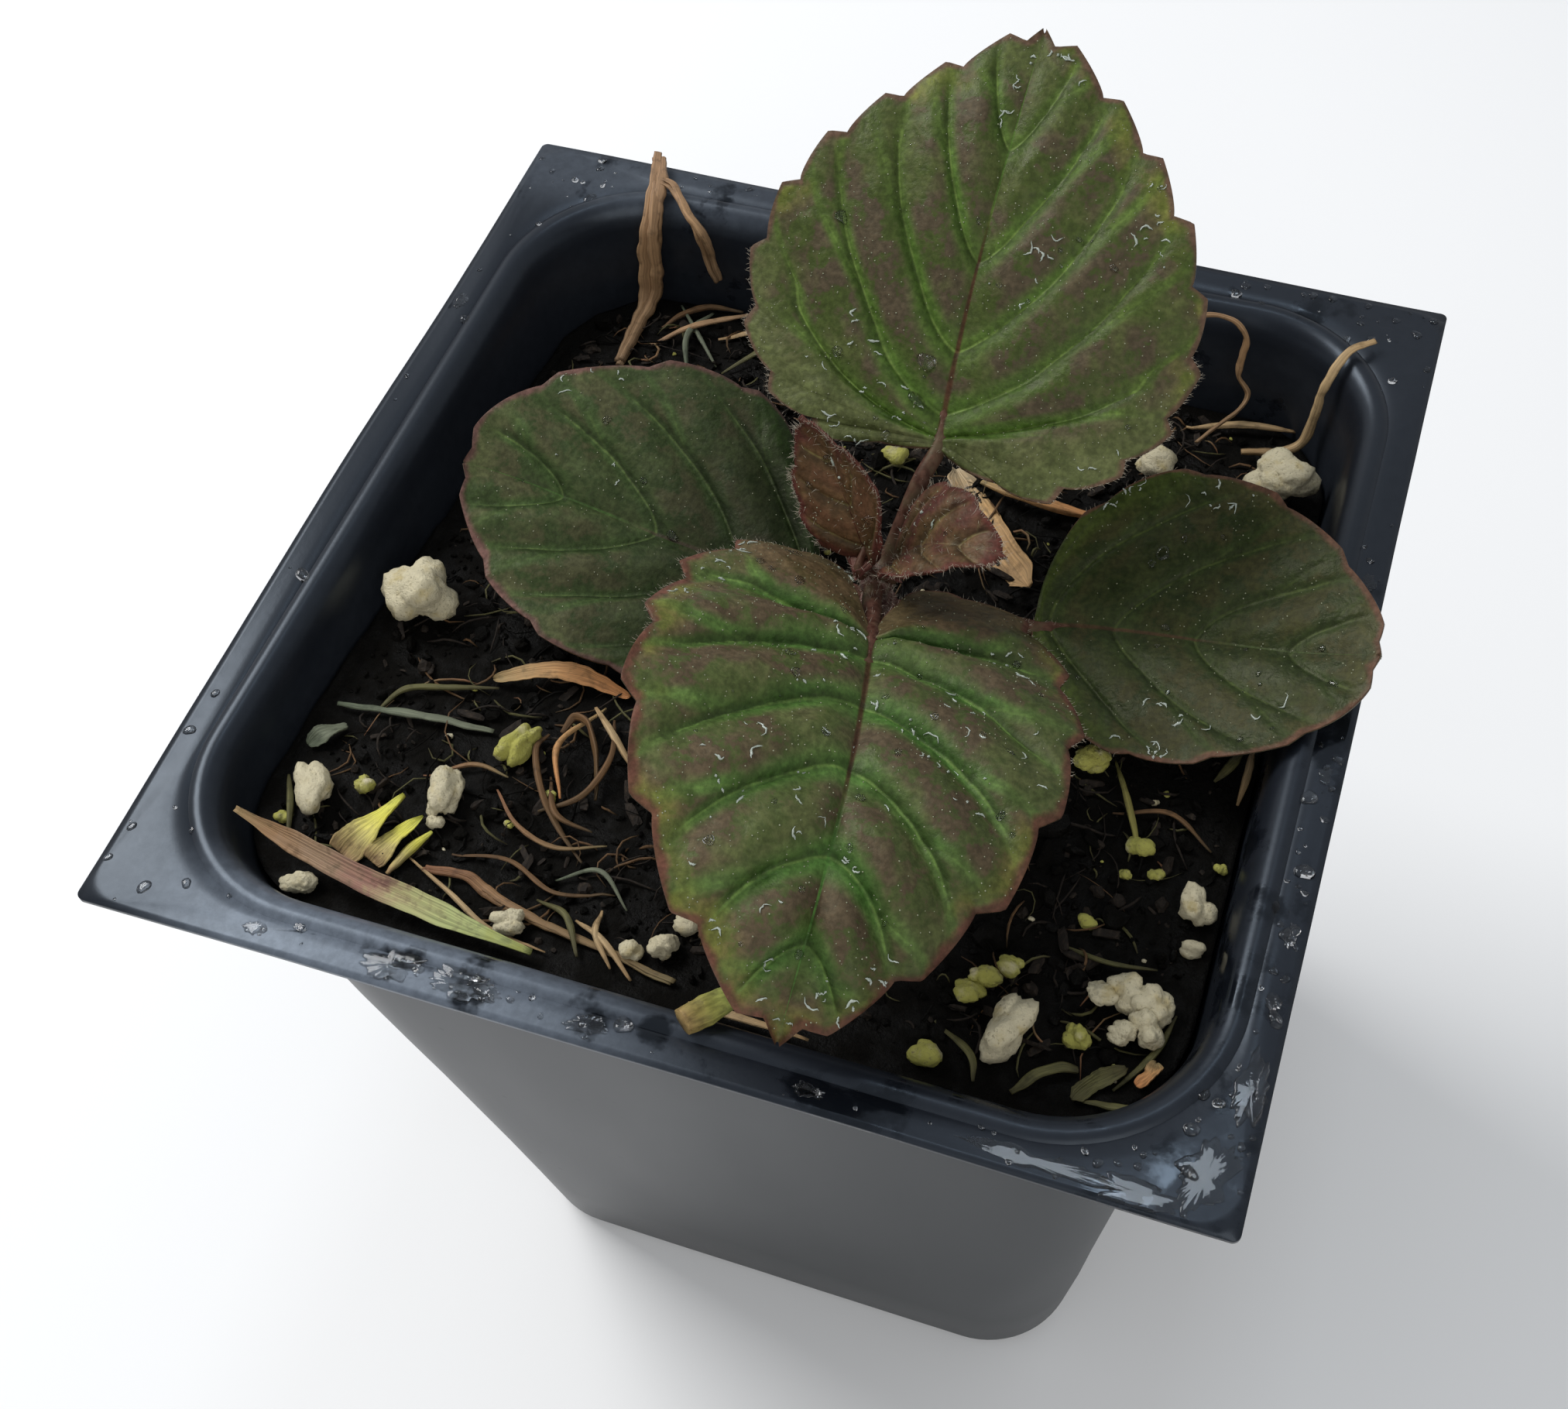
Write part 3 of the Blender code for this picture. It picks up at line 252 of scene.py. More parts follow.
# Grains that only this model has: place, size across and how yellow
SMALL_GRAINS = (
    (28.6, -21.4, 1.5, 0.8), (36.7, -21.4, 1.8, 0.1), (30.3, -16.3, 1.0, 0.9), (32.6, -15.8, 1.3, 0.9),
    (37.2, -13.7, 1.1, 0.6), (30.9, -13.7, 2.2, 0.7), (-34.9, -31.5, 1.3, 0.6), (-0.2, -30.9, 2.2, 0.3),
    (20.3, -36.2, 2.4, 1.0), (22.4, 28.3, 3.4, 0.3), (-0.8, 22.0, 2.4, 0.9), (-22.9, -28.4, 1.4, 0.5),
    (-15.4, -23.2, 1.2, 0.7), (-17.4, -26.6, 1.0, 0.7), (-3.4, -34.6, 1.8, 0.4),
)

# Flat litter: the solids' own lines, then width, roll in degrees and finish
BLADES = {
    "grass_blade": dict(
        line=((-36.5, -33.9, -0.9), (-33.2, -34.4, -2.0), (-28.8, -35.2, -2.5), (-24.5, -35.9, -2.9),
              (-20.6, -36.3, -3.1), (-15.7, -36.9, -3.4), (-10.2, -37.4, -3.6)),
        width=2.0, roll=15, finish="grass"),
    "green_sliver_1": dict(
        line=((-28.4, -33.6, 0.5), (-27.2, -30.7, 1.3), (-25.8, -27.4, 2.0)),
        width=2.6, roll=0, finish="sliver"),
    "green_sliver_2": dict(
        line=((-25.9, -33.4, 0.4), (-25.0, -30.9, 1.0), (-23.6, -28.6, 1.4)),
        width=1.9, roll=10, finish="sliver"),
    "orange_leaf": dict(
        line=((-24.9, -13.5, 0.4), (-21.1, -11.8, 1.3), (-17.7, -11.4, 1.4), (-13.0, -12.0, 0.5)),
        width=1.7, roll=25, finish="orange"),
    "tan_straw": dict(
        line=((5.2, 22.2, 0.5), (8.3, 17.9, 0.6), (11.4, 13.9, 0.5), (15.2, 10.4, 0.4)),
        width=3.3, roll=0, finish="straw"),
    "brown_curl": dict(
        line=((36.3, -31.6, 0.5), (36.1, -32.7, 0.9), (35.3, -33.9, 0.4)),
        width=1.5, roll=20, finish="orange"),
    "dull_straw": dict(
        line=((31.2, -36.3, 0.4), (32.6, -34.5, 0.7), (34.3, -32.6, 0.4)),
        width=1.3, roll=0, finish="dull"),
    "flake": dict(
        line=((-36.4, -24.6, 0.4), (-35.4, -23.2, 0.8), (-34.2, -21.8, 0.4)),
        width=1.7, roll=0, finish="grey"),
}
# How far the fine blades lie above the lowest point of the solids' box, which has room for their width
SOLID_BLADE = 0.6
# Litter whose lines' heights are given from the rim. The others' are given over the soil
FROM_RIM = {"grass_blade", "dead_stem", "dead_branch", "curled_straw", "straw_back_right"}

# Round litter: the solids' own lines, but for the start of the dead branch, and the radius in the middle.
# STRAW_END is the share of it at the ends
STRAWS = {
    "dead_stem": dict(
        line=((-32.0, 44.6, 1.25), (-30.6, 40.9, 1.3), (-30.1, 37.3, -0.9), (-30.5, 36.8, -5.2),
              (-31.0, 35.9, -8.6), (-30.8, 33.0, -9.3), (-30.3, 26.4, -8.8)),
        radius=0.95, finish="dead"),
    "dead_branch": dict(
        line=((-30.9, 41.3, 1.3), (-28.9, 40.8, 1.1), (-26.9, 38.6, 0.6), (-25.1, 37.4, -0.9),
              (-24.4, 37.4, -4.2), (-23.6, 37.0, -6.3)),
        radius=0.6, finish="dead"),
    "curled_straw": dict(
        line=((17.6, 36.6, -9.6), (19.4, 37.4, -4.0), (22.8, 37.7, 0.2), (26.1, 37.7, 0.9),
              (27.7, 37.4, -0.4), (27.8, 37.3, -2.8), (27.7, 37.3, -5.5), (28.8, 36.9, -7.2),
              (28.0, 35.2, -8.2), (25.4, 31.1, -8.6)),
        radius=0.45, finish="dead"),
    "straw_back_right": dict(
        line=((38.9, 38.6, 0.85), (37.0, 36.7, 0.95), (35.6, 34.6, -1.4), (34.9, 33.9, -7.4),
              (33.4, 32.9, -9.2), (29.6, 31.6, -9.0)),
        radius=0.45, finish="tan"),
    "brown_twig": dict(
        line=((-21.8, -32.4, 0.7), (-18.5, -32.2, 0.9), (-16.0, -32.9, 0.6), (-11.6, -34.2, 0.9),
              (-4.5, -35.2, 0.5), (0.6, -36.2, 0.5)),
        radius=0.45, finish="twig"),
    "grey_straw": dict(
        line=((-36.2, -19.9, 0.8), (-31.0, -19.3, 0.9), (-26.8, -18.8, 0.8), (-22.6, -18.4, 0.5)),
        radius=0.4, finish="grey"),
    "root_loop": dict(
        line=((-17.0, -17.0, 0.4), (-16.3, -15.6, 1.4), (-14.6, -16.4, 1.9), (-12.9, -19.0, 1.2),
              (-11.6, -22.4, 0.4)),
        radius=0.36, finish="root"),
    "green_stalk": dict(
        line=((26.9, -37.0, 0.5), (28.3, -35.4, 1.2), (29.8, -34.2, 1.0), (31.0, -33.9, 0.6)),
        radius=0.4, finish="dull"),
}
STRAW_END = 0.6
# How many finer strands lie side by side in a straw that has split
BUNDLES = {"dead_stem": 3, "dead_branch": 2, "brown_twig": 2}

# Finer strands that only this model has: points over the soil, radius and finish
STRANDS = (
    (((-17.8, -17.6, 1.0), (-17.8, -19.8, 1.6), (-15.9, -23.2, 1.2), (-13.5, -25.7, 0.9),
      (-10.3, -28.2, 0.4)), 0.3, "root"),
    (((-15.3, -13.8, 1.2), (-12.7, -16.2, 1.5), (-10.1, -18.5, 0.8)), 0.35, "tan"),
    (((32.0, -36.2, 0.4), (34.9, -36.0, 0.9), (37.2, -35.6, 0.6)), 0.35, "dull"),
    (((-28.4, 32.7, 0.6), (-27.1, 35.1, 1.0), (-24.8, 36.6, 1.5), (-21.4, 37.0, 1.2)), 0.35, "root"),
    (((-27.8, 36.4, 0.9), (-24.8, 33.0, 1.1), (-21.5, 29.5, 0.5)), 0.25, "grey"),
    (((27.1, -6.5, 1.1), (28.6, -9.6, 2.0), (30.1, -12.7, 1.6), (30.8, -14.4, 0.8)), 0.32, "sprout"),
    (((37.3, -1.3, 0.6), (37.4, -4.4, 1.0), (37.2, -7.4, 0.6)), 0.3, "tan"),
    (((35.0, -5.8, 0.4), (36.0, -4.0, 0.9), (36.6, -2.0, 0.5)), 0.4, "dull"),
    (((-36.6, -27.6, 0.6), (-34.9, -30.3, 0.8), (-33.6, -33.2, 0.5)), 0.28, "dull"),
    (((-32.6, -19.6, 0.9), (-31.4, -16.8, 1.0), (-27.8, -15.4, 0.8), (-24.2, -14.0, 0.6)), 0.3, "dull"),
    (((-24.4, -33.9, 0.5), (-23.6, -31.4, 1.0), (-22.6, -29.4, 1.2)), 0.4, "sliver"),
    (((2.4, -37.4, 0.6), (5.4, -37.6, 1.2), (12.0, -37.8, 1.0)), 0.35, "tan"),
    (((-8.6, -33.2, 0.6), (-5.6, -34.6, 1.3), (-2.4, -37.0, 0.6)), 0.28, "tan"),
    (((8.0, 20.6, 1.4), (11.6, 19.6, 1.8), (15.4, 19.4, 1.4), (19.8, 20.0, 0.8)), 0.75, "orange"),
    (((10.2, 26.8, 0.6), (13.2, 23.0, 1.2), (14.4, 19.4, 0.8)), 0.4, "tan"),
    (((-5.4, 34.6, 0.5), (-9.6, 31.4, 1.2), (-15.0, 31.6, 0.9), (-19.6, 33.6, 0.5)), 0.35, "dead"),
    (((24.0, 33.8, 0.6), (29.0, 35.2, 1.4), (33.8, 36.2, 0.8)), 0.4, "tan"),
    (((-28.6, 30.2, 0.4), (-25.0, 33.4, 1.6), (-19.4, 36.2, 2.2)), 0.35, "dead"),
    (((-24.0, 28.0, 0.4), (-25.4, 32.0, 1.4), (-24.4, 36.4, 0.9)), 0.3, "grey"),
    (((-20.6, 28.6, 0.6), (-17.4, 32.4, 1.3), (-16.0, 36.2, 0.8)), 0.3, "dull"),
    (((-9.0, 36.0, 0.6), (-13.4, 34.2, 1.4), (-18.8, 34.8, 1.0), (-22.6, 33.0, 0.5)), 0.4, "tan"),
    (((-13.4, -14.4, 0.8), (-11.8, -18.6, 1.8), (-12.6, -22.6, 1.4), (-15.6, -24.8, 0.6)), 0.28, "root"),
    (((-14.6, -13.4, 0.8), (-16.2, -18.8, 2.0), (-14.2, -23.4, 1.2)), 0.26, "orange"),
    (((-12.4, -32.2, 0.5), (-9.2, -33.4, 1.5), (-7.0, -36.4, 0.8)), 0.3, "dull"),
    (((-7.0, -31.8, 0.5), (-6.4, -34.2, 1.3), (-4.2, -36.6, 0.8)), 0.26, "tan"),
    (((-19.5, -24.0, 0.5), (-16.4, -26.8, 1.3), (-12.8, -27.6, 1.0), (-9.0, -26.2, 0.5)), 0.24, "twig"),
    (((-20.4, -30.6, 0.5), (-15.8, -29.8, 1.0), (-11.2, -31.4, 0.9), (-6.6, -30.2, 0.5)), 0.22, "root"),
    (((-16.0, -21.4, 0.4), (-13.9, -24.9, 1.4), (-10.6, -25.4, 0.8)), 0.26, "root"),
    (((-26.0, -24.4, 0.4), (-22.4, -22.4, 1.0), (-19.0, -22.8, 0.8)), 0.20, "twig"),
    (((-12.0, -30.2, 0.4), (-8.4, -28.8, 1.2), (-5.2, -31.2, 0.6)), 0.20, "grey"),
    (((-24.0, -31.6, 0.3), (-19.0, -34.0, 1.1), (-14.6, -36.0, 0.8), (-9.6, -36.6, 0.5)), 0.22, "tan"),
    (((27.4, -24.0, 0.4), (31.0, -24.8, 1.1), (34.6, -24.0, 0.6)), 0.24, "dull"),
    (((20.2, -33.4, 0.4), (23.4, -35.4, 1.0), (24.2, -37.2, 0.6)), 0.30, "dull"),
    (((28.0, -11.0, 0.4), (32.4, -10.2, 1.2), (36.2, -12.4, 0.6)), 0.24, "root"),
    (((33.8, -34.6, 0.4), (36.0, -31.0, 1.0), (36.8, -27.4, 0.5)), 0.26, "dull"),
)

# Litter colours, linear, from one end of the piece to the other
LITTER_COLOURS = {
    "grass": ((0.36, 0.25, 0.12), (0.34, 0.20, 0.10), (0.36, 0.24, 0.15), (0.31, 0.16, 0.12),
              (0.40, 0.38, 0.17), (0.38, 0.42, 0.17), (0.34, 0.36, 0.10)),
    "sliver": ((0.42, 0.27, 0.13), (0.50, 0.42, 0.15), (0.64, 0.60, 0.09), (0.56, 0.56, 0.10)),
    "orange": ((0.36, 0.26, 0.12), (0.50, 0.27, 0.11), (0.55, 0.24, 0.09)),
    "tan": ((0.38, 0.25, 0.12), (0.48, 0.34, 0.18), (0.36, 0.23, 0.11)),
    "straw": ((0.55, 0.44, 0.28), (0.58, 0.36, 0.16), (0.50, 0.30, 0.13), (0.60, 0.38, 0.18)),
    "dead": ((0.30, 0.18, 0.10), (0.40, 0.24, 0.12), (0.24, 0.15, 0.08)),
    "twig": ((0.22, 0.10, 0.05), (0.26, 0.15, 0.07), (0.17, 0.13, 0.06)),
    "root": ((0.10, 0.055, 0.025), (0.16, 0.085, 0.035), (0.07, 0.045, 0.02)),
    "grey": ((0.10, 0.12, 0.075), (0.15, 0.165, 0.11), (0.12, 0.13, 0.085)),
    "dull": ((0.07, 0.062, 0.022), (0.12, 0.112, 0.040), (0.07, 0.060, 0.026)),
    "sprout": ((0.12, 0.11, 0.03), (0.22, 0.19, 0.05), (0.30, 0.28, 0.07)),
    "stub": ((0.30, 0.20, 0.075), (0.30, 0.28, 0.07), (0.28, 0.32, 0.08)),
}

# Films of water on the rim: place, length, breadth and turn in degrees
PUDDLES = (
    (-18.4, -42.7, 4.4, 2.3, 8), (-12.6, -42.6, 5.6, 2.3, 0), (-29.8, -42.9, 1.6, 1.0, 20),
    (-26.4, -41.9, 1.0, 0.8, 0), (-2.7, -42.9, 3.0, 1.5, 5), (1.8, -41.8, 1.6, 0.8, 0),
    (29.6, -43.2, 11.5, 1.5, 0), (37.4, -43.3, 6.0, 2.0, 0), (41.4, -40.6, 5.6, 3.2, 65),
    (43.0, -33.8, 5.4, 2.2, 85), (43.3, -21.2, 2.0, 1.0, 80), (43.1, -26.8, 1.5, 1.0, 90),
    (43.1, -7.0, 1.8, 0.9, 90), (14.0, -43.0, 2.2, 1.0, 0), (-43.2, 22.0, 2.0, 1.0, 90),
    (43.0, 12.0, 2.4, 1.1, 90),
)

# Cut stub of a stalk on the rim: length, radii at its ends and middle, and turn in degrees
RIM_STUB = dict(length=3.8, radii=(1.0, 1.1, 0.9), turn=38.0)

# How many loose bits there are
CRUMBS = 4000
CHIPS = 260
FIBRES = 1100
GRIT = 60
POT_DROPS = 280
STEM_HAIRS = 260
PETIOLE_HAIRS = 110
# Finishes of the fibres on the soil, with their shares
FIBRE_KINDS = dict(root=0.17, dull=0.16, chip=0.27, soil=0.34, twig=0.06)
# Radii: the middle one, how far they spread and the largest
CRUMB_SIZES = (0.24, 0.55, 1.0)
LEAF_DROP_SIZES = (0.24, 0.5, 0.75)
POT_DROP_SIZES = (0.22, 0.6, 0.9)
# How high drops on the rim and on leaves stand, as shares of their radii
POT_DROP_HEIGHTS = (0.3, 0.5)
LEAF_DROP_HEIGHTS = (0.3, 0.6)
# How many of the inside's last rings lie on the rim, and the first of these that is level
RIM_RINGS = 12
LEVEL_RING = 4
# How far crumbs stay from the lines of the litter, and all loose bits from the edge of the soil
LITTER_CLEARANCE = 1.5
SOIL_INSET = 1.4
# Corner radius of the ground on which loose bits lie
SOIL_CORNER = 10.0
HAIR_RADIUS = 0.016
# Sides of a drop and of a film
DROP_SIDES = 14
FILM_SIDES = 96
# Seeds of the random draws. Those of leaves and grains are their own
SEEDS = dict(stem=7, joined=70, small=90, grit=99, crumbs=101, fibres=103, drops=211)

# Soft lights: place in metres, size, power and colour
LIGHTS = {
    "key": ((-0.42, 0.14, 0.56), 0.30, 3.3, (1.0, 1.0, 1.0)),
    "top": ((0.011, 0.197, 0.693), 0.10, 0.30, (0.80, 0.90, 1.0)),
    "fill": ((0.30, -0.50, 0.40), 0.5, 1.4, (1.0, 0.98, 0.95)),
}
LIGHT_TARGET = (0.0, 0.0, 0.08)
WATER_IOR = 1.333
FLOOR_HALF = 3.0
FLOOR_LEVEL = -0.0001
FLOOR_COLOURS = ((0.86, 0.86, 0.86), (0.88, 0.88, 0.88))


# Geometry helpers

def rise(low, high, value):
    """Smoothly from 0 at low to 1 at high."""
    share = np.clip((value - low) / (high - low), 0.0, 1.0)
    return share * share * (3 - 2 * share)


def rough(points, size, seed=0.0):
    """Smooth noise between about -1 and 1 at each point, with lumps of that size."""
    scaled = np.asarray(points, float) / size + seed * 17.3
    return np.array([noise.noise(p) for p in scaled.reshape(-1, 3)]).reshape(scaled.shape[:-1])


def unit(vectors):
    """The vectors at length one."""
    return vectors / np.maximum(np.linalg.norm(vectors, axis=-1, keepdims=True), 1e-12)


def upward(vectors):
    """The vectors, or their opposites where they point down."""
    return np.where(vectors[..., 2:] < 0, -vectors, vectors)


def above_base(points):
    """Points given from the rim's centre, as ones from the base's centre."""
    return np.asarray(points, float) + (0.0, 0.0, POT_HEIGHT)


def bezier(points, u):
    """Points on the curve of four control points."""
    a, b, c, d = (np.array(p, float) for p in points)
    u = np.asarray(u, float)[..., None]
    return (1 - u) ** 3 * a + 3 * (1 - u) ** 2 * u * b + 3 * (1 - u) * u**2 * c + u**3 * d


def way_along(line):
    """How far each point of a line is from its start, along the line."""
    return np.concatenate(([0.0], np.cumsum(np.linalg.norm(np.diff(line, axis=0), axis=1))))


def point_at(place, way, line):
    """The line's points at those places, where way gives each of its own points' place."""
    return np.stack([np.interp(place, way, column) for column in line.T], axis=-1)


def cell_areas(grid):
    """The area that each point of a grid stands for."""
    return np.linalg.norm(np.cross(np.gradient(grid, axis=0), np.gradient(grid, axis=1)), axis=-1)


def pick_cells(rng, weights, count):
    """Random rows and columns of a grid, in proportion to its weights."""
    chosen = rng.choice(weights.size, count, p=(weights / weights.sum()).ravel())
    return np.unravel_index(chosen, weights.shape)


def smooth_line(points, steps):
    """Points on a smooth curve through the given ones, as many as steps in each stretch."""
    points = [np.array(p, float) for p in points]
    ends = [2 * points[0] - points[1], *points, 2 * points[-1] - points[-2]]
    found = []
    for a, b, c, d in zip(ends, ends[1:], ends[2:], ends[3:]):
        for k in range(steps):
            u = k / steps
            found.append(0.5 * (2 * b + (c - a) * u + (2 * a - 5 * b + 4 * c - d) * u**2
                                + (3 * b - a - 3 * c + d) * u**3))
    found.append(points[-1])
    return np.array(found)


def add_thing(name, data):
    """A new object in the scene with that mesh, light or camera."""
    thing = bpy.data.objects.new(name, data)
    bpy.context.scene.collection.objects.link(thing)
    return thing


class Pile:
    """Closed meshes collected into one object, in millimetres from the base, with marks for the materials."""

    def __init__(self):
        self.points = []
        self.faces = []
        self.finishes = []
        self.marks = []
        self.count = 0

    def add(self, points, faces, finish=0, marks=None):
        """Adds a mesh. Faces is a list of index arrays, and marks has one or two vectors for each point."""
        points = np.asarray(points, float).reshape(-1, 3)
        self.points.append(points)
        for group in faces:
            group = np.asarray(group) + self.count
            self.faces.extend(group.tolist())
            self.finishes.extend([finish] * len(group))
        marks = np.zeros((len(points), 3)) if marks is None else np.asarray(marks, float)
        self.marks.append(np.stack((marks, marks), axis=1) if marks.ndim == 2 else marks)
        self.count += len(points)

    def add_tube(self, line, radii, sides, finish=0, **section):
        """Adds a closed tube, marked with its places."""
        points, faces, places = sweep(line, radii, sides, **section)
        self.add(points, faces, finish, places)

    def make(self, name, materials, replaces=(), smooth=True):
        """The object, riding on the pot's body."""
        mesh = bpy.data.meshes.new(name)
        mesh.from_pydata((np.concatenate(self.points) * MM).tolist(), [], self.faces)
        for material in materials:
            mesh.materials.append(material)
        mesh.polygons.foreach_set("material_index", self.finishes)
        marks = np.concatenate(self.marks)
        for number, title in enumerate(("place", "mark")):
            layer = mesh.attributes.new(title, "FLOAT_VECTOR", "POINT")
            layer.data.foreach_set("vector", marks[:, number].ravel())
        if smooth:
            mesh.shade_smooth()
        thing = add_thing(name, mesh)
        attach(thing, "root")
        if replaces:
            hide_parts(*replaces)
        return thing


def grid_faces(rows, columns, round_way=False):
    """Quads of a grid of points, closed round its columns where round_way is True."""
    low = np.arange(rows - 1)[:, None] * columns
    left = np.arange(columns if round_way else columns - 1)[None, :]
    right = (left + 1) % columns
    quads = np.stack((low + left, low + right, low + columns + right, low + columns + left), axis=-1)
    return quads.reshape(-1, 4)


def ring_faces(rings, around):
    """Faces of a closed body of rings of points, followed by the middle of its bottom and that of its top."""
    turn = np.arange(around)
    after = (turn + 1) % around
    last = (rings - 1) * around
    bottom = rings * around
    return [grid_faces(rings, around, round_way=True),
            np.stack((after, turn, np.full(around, bottom)), axis=-1),
            np.stack((turn + last, after + last, np.full(around, bottom + 1)), axis=-1)]


def circle(one, two, angle):
    """Points round a circle between two directions."""
    return one * np.cos(angle)[:, None] + two * np.sin(angle)[:, None]


def turned(points, angle):
    """The points turned about +Z."""
    return points @ np.array(Matrix.Rotation(angle, 3, "Z")).T


def closed_sheet(top, bottom):
    """Points and faces of a thin closed sheet between two grids of points, with top facing up."""
    rows, columns = top.shape[:2]
    size = rows * columns
    upper = grid_faces(rows, columns)
    lower = upper[:, ::-1] + size
    edge = [np.arange(columns), np.arange(rows) * columns + columns - 1,
            (rows - 1) * columns + np.arange(columns)[::-1], np.arange(rows)[::-1] * columns]
    loop = np.concatenate([part[:-1] for part in edge])
    after = np.roll(loop, -1)
    sides = np.stack((after, loop, loop + size, after + size), axis=-1)
    return np.concatenate((top.reshape(-1, 3), bottom.reshape(-1, 3))), [upper, lower, sides]


def sweep(line, radii, sides, flat=1.0, ridges=0.0, seed=0):
    """Points and faces of a closed tube along a line, with a flattened and ridged section, and its places
    as (share of the length, share of the way round, 0)."""
    line = np.asarray(line, float)
    count = len(line)
    ahead = unit(np.gradient(line, axis=0))
    side = unit(np.cross(ahead[0], (0.3, 0.2, 0.93)))
    frames = []
    for direction in ahead:
        side = unit(side - (side @ direction) * direction)
        frames.append(side)
    side = np.array(frames)
    over = np.cross(ahead, side)
    angle = np.linspace(0, 2 * math.pi, sides, endpoint=False)
    share = np.linspace(0, 1, count)
    wave = 1 + ridges * (0.6 * np.cos(3 * angle[None, :] + seed + 2.5 * share[:, None])
                         + 0.4 * np.cos(7 * angle[None, :] + 2.1 * seed))
    reach = np.asarray(radii, float)[:, None] * wave
    points = (line[:, None, :] + side[:, None, :] * (reach * np.cos(angle))[..., None]
              + over[:, None, :] * (reach * flat * np.sin(angle))[..., None])
    points = np.concatenate((points.reshape(-1, 3), line[:1], line[-1:]))
    places = np.zeros((len(points), 3))
    places[:-2, 0] = np.repeat(share, sides)
    places[:-2, 1] = np.tile(angle / math.pi, count)
    places[-1, 0] = 1.0
    return points, ring_faces(count, sides), places


def sphere(detail):
    """Points and faces of a ball of radius one."""
    bm = bmesh.new()
    bmesh.ops.create_icosphere(bm, subdivisions=detail, radius=1.0)
    points = np.array([v.co for v in bm.verts])
    faces = np.array([[v.index for v in f.verts] for f in bm.faces])
    bm.free()
    return points, faces


BALLS = {detail: sphere(detail) for detail in (1, 2, 3, 4)}


def random_sizes(rng, middle, spread, most, count=None):
    """Sizes that lie round a middle one, with a few much larger ones, up to most."""
    return np.minimum(rng.lognormal(math.log(middle), spread, count), most)


def axes_of(normals, rng):
    """Two directions across each normal, turned at random."""
    guess = rng.normal(size=normals.shape)
    first = unit(np.cross(normals, guess))
    return first, np.cross(normals, first)


def add_drops(pile, places, normals, radii, rng, heights):
    """Closed water drops on a surface, each with an uneven outline."""
    first, second = axes_of(normals, rng)
    angle = np.linspace(0, 2 * math.pi, DROP_SIDES, endpoint=False)
    rings = ((1.0, -0.12), (1.02, 0.12), (0.93, 0.48), (0.76, 0.76), (0.52, 0.92), (0.26, 0.99))
    faces = ring_faces(len(rings), DROP_SIDES)
    for place, normal, one, two, radius in zip(places, normals, first, second, radii):
        uneven = 1 + sum(rng.uniform(0.0, size) * np.cos(n * angle + rng.uniform(0, FULL_TURN))
                         for n, size in ((2, 0.28), (3, 0.14), (5, 0.05)))
        height = radius * rng.uniform(*heights)
        around = circle(one, two, angle)
        points = [place + around * (radius * ring * uneven)[:, None] + normal * (height * level)
                  for ring, level in rings]
        middles = [(place - normal * height * 0.12)[None], (place + normal * height)[None]]
        pile.add(np.concatenate(points + middles), faces)


def add_arcs(pile, places, normals, rng):
    """Thin curved streaks of water, coloured pale as painted glints of light."""
    steps = 9
    first, second = axes_of(normals, rng)
    share = np.linspace(0, 1, steps)
    for place, normal, one, two in zip(places, normals, first, second):
        radius, span = rng.uniform(0.12, 0.8), rng.uniform(0.6, 2.4)
        angle = np.linspace(-span / 2, span / 2, steps)[:, None]
        wander = np.cumsum(rng.normal(scale=0.10 * radius, size=(steps, 1)), axis=0)
        bow = (one * (np.cos(angle) - 1) + two * np.sin(angle)) * radius
        line = place + bow + one * wander + normal * 0.04
        thick = rng.uniform(0.03, 0.08) * (0.25 + np.sin(math.pi * share)) * rng.uniform(0.6, 1.5, steps)
        tube, faces, _ = sweep(line, thick, 6)
        pile.add(tube, faces)


def add_hairs(pile, places, directions, lengths, rng):
    """Fine hairs, each a three-sided tapered rod with a slight bend."""
    directions = unit(directions)
    first, second = axes_of(directions, rng)
    angle = np.radians((0, 120, 240))
    quads = grid_faces(3, 3, round_way=True)
    tip = np.array([[6, 7, 9], [7, 8, 9], [8, 6, 9]])
    base = np.array([[2, 1, 0]])
    for place, direction, one, two, length in zip(places, directions, first, second, lengths):
        bend = one * rng.uniform(0.0, 0.35) * length
        points = []
        for share, thick in ((-0.08, 1.0), (0.35, 0.8), (0.7, 0.5)):
            middle = place + direction * (length * share) + bend * share**2
            points.append(middle + circle(one, two, angle) * HAIR_RADIUS * thick)
        points.append((place + direction * length + bend)[None])
        pile.add(np.concatenate(points), [quads, tip, base])


def add_stalk_hairs(pile, line, radii, spots, depth, rng):
    """Hairs all round a stalk at those points of its line, rooted at depth times its radius."""
    ahead = unit(np.gradient(line, axis=0))[spots]
    around, _ = axes_of(ahead, rng)
    add_hairs(pile, above_base(line[spots] + around * (radii[spots] * depth)[:, None]),
              around + 0.3 * rng.normal(size=around.shape), rng.uniform(0.3, 0.8, len(spots)), rng)


# Materials

